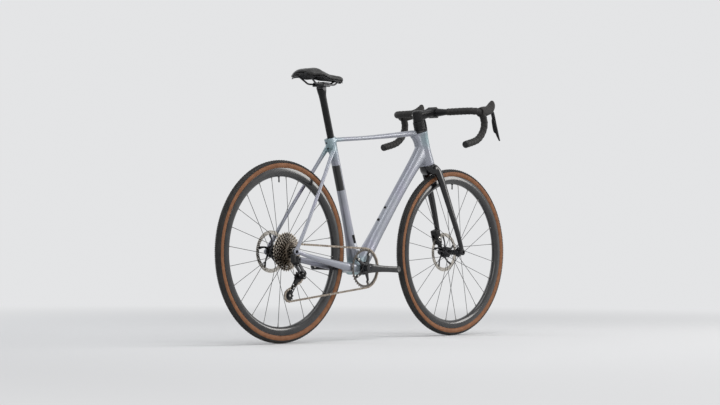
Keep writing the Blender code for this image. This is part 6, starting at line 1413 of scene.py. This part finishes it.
turned("cassette_lock_ring", (
    (10.4, -66.1), (13.9, -66.1), (14.1, -66.6), (14.1, -67.6), (13.6, -68.1), (11.8, -68.1),
    (11.3, -67.2), (10.4, -67.2)), REAR_AXLE, LEFT, 48, bright_steel, "cassette")

ring_alloy = finish(
    "ring_alloy", (0.12, 0.11, 0.10), 0.30, metallic=1.0,
    tones=(60, 4, (0.30, (0.075, 0.068, 0.062)), (0.75, (0.17, 0.155, 0.14))),
    shine=(300, 0.22, 0.40), grain=(1200, 0.00002, 0.5))
CRANK_ANGLE = radians(-2)
SPIDER_WAYS = [outwards(CRANK_ANGLE + tau * k / 5) for k in range(5)]
BOLT_CIRCLE = 55
ring, bolts = bmesh.new(), bmesh.new()
toothed(ring, RING_CENTRE, RING_TEETH, 66.2, 1.8, first_pin_angles[0], 2.4)
for out in SPIDER_WAYS:
    seat = RING_CENTRE + BOLT_CIRCLE * out
    washer(ring, seat, 6.8, 4.2, 1.7, 24)
    lofted(ring, [(RING_CENTRE + reach * out, 0.8, wide) for reach, wide in (
        (60, 4.8), (63.5, 5.8), (66.8, 9.2))], 12, 6.0, 8)
    spun(bolts, ((0, 2.2), (5, 2.2), (5.4, 1.8), (5.4, 1), (0, 1)), seat, LEFT, 24)
    screw(bolts, seat - 6.3 * LEFT, -LEFT, 4.8, 1.6)
shown("chainring_teeth", ring, ring_alloy, "cranks", "chainring")
shown("chainring_bolts", bolts, bright_steel, "cranks")


# The cranks are forged, in satin black. The right arm carries the spindle and the spider in
# one piece, and the left arm is clamped on it. Both ends have a steel thread for a pedal.

crank_black = finish(
    "crank_black", (0.009, 0.009, 0.010), 0.26, coat=0.30, specular=0.3,
    tones=(45, 5, (0.30, (0.006, 0.006, 0.007)), (0.75, (0.016, 0.016, 0.017))),
    shine=(240, 0.22, 0.38), grain=(1100, 0.00002, 0.4))
link_gloss = finish(
    "link_gloss", (0.060, 0.060, 0.064), 0.16, metallic=0.9, coat=0.3,
    tones=(70, 3, (0.30, (0.040, 0.040, 0.044)), (0.75, (0.085, 0.085, 0.090))),
    shine=(200, 0.10, 0.24))
PEDAL_REACH = 172.5
ARM_MIDDLE = 66.75
ARM_HALF = 6.7

for side, letter in SIDES:
    way = -side * outwards(CRANK_ANGLE)
    root = BRACKET + side * ARM_MIDDLE * LEFT
    eye = root + PEDAL_REACH * way
    forging = bmesh.new()
    lofted(forging, [(root + share * PEDAL_REACH * way, ARM_HALF, high) for share, high in (
        (-0.055, 16.5), (0, 19), (0.12, 17), (0.35, 13.7), (0.7, 12), (1, 12.4))], 36, 3.4, 40)
    rod(forging, eye, LEFT, -ARM_HALF, ARM_HALF, 12.6, 48)
    rod(forging, root, LEFT, -ARM_HALF, ARM_HALF, 19.1, 48)
    tools = [tool(rod, eye, LEFT, -20, 20, 7.2, 36), tool(rod, root, side * LEFT, 4, 20, 10.8, 36)]
    if letter == "left":
        tools.append(tool(block, root - 15 * way, (30, 20, 1.4), way.cross(LEFT), way))
    else:
        rod(forging, BRACKET, LEFT, -46.2, -70, 18.6, 48)
        for out in SPIDER_WAYS:
            lofted(forging, [(BRACKET - 49 * LEFT + reach * out, thick, wide)
                             for reach, thick, wide in (
                (12, 3, 12.5), (30, 2.6, 8), (45, 2.5, 6.2), (BOLT_CIRCLE, 2.5, 6.2))], 20, 4.0, 16)
            rod(forging, BRACKET + BOLT_CIRCLE * out, LEFT, -46.3, -51.2, 6.5, 24)
    arm_mesh = moulded(f"crank_arm_{letter}", forging, 1.4, 4, *tools)
    shown(f"crank_arm_{letter}", arm_mesh, crank_black, "cranks", f"{letter}_crank")
    shown(f"crank_threads_{letter}", tool(washer, eye, 8, 7, 13.7, 36), forged_alloy, "cranks")
    shown(f"crank_bolt_{letter}", tool(screw, root + side * 3.6 * LEFT, side * LEFT, 9.5, 2.8),
          link_gloss, "cranks", slot="steel")
shown("crank_spindle", tool(rod, BRACKET, LEFT, -60, 64, 14.4, 48), bright_steel, "cranks")


# The rear derailleur hangs on a boss under the right dropout. Two links swing its lower
# knuckle under the sprockets, and a sprung cage with two pulleys keeps the chain tight.

LINK_WAY = Vector((0.55, -0.12, -0.82)).normalized()
slant = Vector((0.74, 0.42, 0.50))
PIN_WAY = (slant - slant.dot(LINK_WAY) * LINK_WAY).normalized()
INBOARD = PIN_WAY.cross(LINK_WAY)
LINK_LENGTH = 40
LINK_GAP = 14.5
UPPER_PIN = Vector((-498.8, -78.6, 300.9))
LOWER_PIN = UPPER_PIN + LINK_LENGTH * LINK_WAY
HANGER_BOLT = Vector((-518.5, 0, 316))
CAGE_PIVOT = Vector((-466, 0, 251.5))


def in_links(origin, along, inboard, beside=0):
    return origin + along * LINK_WAY + inboard * INBOARD + beside * PIN_WAY


def slab(bm, outline, thickness):
    """A plate from the points of its outline, thickened both ways along its own normal."""
    face = bm.faces.new([bm.verts.new(point) for point in outline])
    face.normal_update()
    normal = face.normal.copy()
    near = face.verts[:]
    bmesh.ops.translate(bm, verts=near, vec=-thickness / 2 * normal)
    far = thickened(bm, [face], thickness * normal)
    bmesh.ops.recalc_face_normals(bm, faces=list({f for v in near + far for f in v.link_faces}))


def knuckle(pin, boss, boss_ends, boss_radius, ears, middle, size):
    """A knuckle's rough shape: its round boss, and two ears for the links with a block between."""
    bm = bmesh.new()
    rod(bm, boss, LEFT, *boss_ends, boss_radius, 40)
    for beside in (9.65, -9.65):
        slab(bm, [in_links(pin, along, inboard, beside) for along, inboard in ears], 2.6)
    block(bm, in_links(pin, *middle), size, PIN_WAY, LINK_WAY)
    return bm


upper = knuckle(UPPER_PIN, HANGER_BOLT, (-80.2, -97.8), 12, (
    (4.5, -1.5), (3.5, -5), (-15, -6.5), (-15, 19), (1.5, 19.5), (3.5, 16)),
    (-10.5, 6.25), (9, 25.4, 21.8))
arm = in_links(UPPER_PIN, -11, 1)
rod(upper, arm, HANGER_BOLT - 90.1 * LEFT - arm, 0, 1, 8, 24)
lower = knuckle(LOWER_PIN, CAGE_PIVOT, (-56.7, -77.3), 10.5, (
    (-4.5, 13.5), (-3.5, 19.5), (12, 20.5), (14, -3), (3, -5), (-4, -2.5)),
    (10, LINK_GAP / 2), (8, 21.4, 21.8))
lower_pins = tool(screw, CAGE_PIVOT - 76.8 * LEFT, -LEFT, 6, 1.6)
shown("derailleur_mount_bolt", tool(screw, HANGER_BOLT - 97.2 * LEFT, -LEFT, 7.8, 2), link_gloss,
      "chassis", slot="steel")
for name, solid, space, pins, top, body, replaced in (
        ("upper", upper, (HANGER_BOLT, LEFT, -55, -80.2, 10.6), bmesh.new(), UPPER_PIN, "chassis",
         "b_knuckle"),
        ("lower", lower, (CAGE_PIVOT, LEFT, -30, -74.5, 6.4), lower_pins, LOWER_PIN, "p_knuckle",
         "p_knuckle")):
    knuckle_mesh = moulded(f"derailleur_{name}_body", solid, 1.0, 4, tool(rod, *space))
    shown(f"derailleur_{name}_body", knuckle_mesh, satin_black, body, replaced)
    for pin in (top, in_links(top, 0, LINK_GAP)):
        rod(pins, pin, PIN_WAY, -11.2, 11.2, 2, 16)
    shown(f"derailleur_{name}_pins", pins, bright_steel, body)

for name, top in (("outer", UPPER_PIN), ("inner", in_links(UPPER_PIN, 0, LINK_GAP))):
    body, bores = bmesh.new(), bmesh.new()
    for pin in (top, top + LINK_LENGTH * LINK_WAY):
        rod(body, pin, PIN_WAY, -7.9, 7.9, 3.9, 28)
        rod(bores, pin, PIN_WAY, -20, 20, 2.2, 16)
    block(body, top + LINK_LENGTH / 2 * LINK_WAY, (LINK_LENGTH, 7.4, 15), PIN_WAY, LINK_WAY, 1.4)
    link_mesh = moulded(f"derailleur_{name}_link", body, 0.8, 3, bores)
    shown(f"derailleur_{name}_link", link_mesh, link_gloss, f"{name}_link", f"{name}_link")

cage_long = (TENSION_CENTRE - GUIDE_CENTRE).length
cage_down = (TENSION_CENTRE - GUIDE_CENTRE) / cage_long
cage_across = cage_down.cross(LEFT)
outline = [(12.5 * cos(radians(a)), 12.5 * sin(radians(a))) for a in range(90, 271, 15)]
outline += [(14, -8.8), (30, -7.3), (cage_long - 20, -6.8)]
outline += [(cage_long + 11 * cos(radians(a)), 11 * sin(radians(a))) for a in range(-75, 76, 15)]
outline += [(cage_long - 20, 6.8), (30, 7.3), (14, 8.8)]
plates, holes = bmesh.new(), bmesh.new()
for out in (4.35, -4.35):
    face = GUIDE_CENTRE + out * LEFT
    slab(plates, [face + x * cage_down + z * cage_across for x, z in outline], 1.5)
    for along, size in ((36, 4.4), (48, 4.4), (60, 4)):
        rod(holes, face + along * cage_down, LEFT, -2, 2, size, 20)
plates_mesh = moulded("cage_plates", plates, None, 0, holes, sharp=35)
shown("cage_plates", plates_mesh, satin_black, "cage", "cage", slot="dark_alloy")
bm = bmesh.new()
rod(bm, CAGE_PIVOT, LEFT, -56, -72.2, 5.9)
for centre in (GUIDE_CENTRE, TENSION_CENTRE):
    rod(bm, centre, LEFT, -4.9, 4.9, 2.5, 20)
    screw(bm, centre + 5 * LEFT, LEFT, 3.8, 1.6)
screw(bm, TENSION_CENTRE - 5 * LEFT, -LEFT, 3.8, 1.6)
shown("cage_axles", bm, bright_steel, "cage")

pulley_resin = finish(
    "pulley_resin", (0.018, 0.018, 0.019), 0.48, specular=0.3,
    tones=(120, 3, (0.30, (0.016, 0.016, 0.017)), (0.75, (0.038, 0.037, 0.038))),
    shine=(300, 0.40, 0.60), grain=(1500, 0.00003, 0.5))
for name, centre, first in (("guide", GUIDE_CENTRE, first_pin_angles[2]),
                            ("tension", TENSION_CENTRE, first_pin_angles[3])):
    shown(f"{name}_pulley_teeth", tool(toothed, centre, PULLEY_TEETH, 6, 1.8, first, 2),
          pulley_resin, f"{name}_pulley", f"{name}_pulley")
    shown(f"{name}_pulley_bearing", tool(washer, centre, 6.8, 2.9, 3, 36), bright_steel,
          f"{name}_pulley")

PACK_UP = Matrix.Rotation(radians(-12), 3, "Y") @ Vector((0, 0, 1))
pack = HANGER_BOLT + Vector((-21.5, -89, 4))
bm = bmesh.new()
for up, out, size, edge in ((-1.6, 0, (14.8, 17.8, 28.5), 2.6), (14.2, 0, (13.2, 16, 3.2), 1),
                            (6, -8.5, (8, 1.2, 12), 0.5)):
    block(bm, pack + up * PACK_UP + out * LEFT, size, PACK_UP, (1, 0, 0), edge)
shown("battery_case", bm, plug_black, "chassis", "battery")
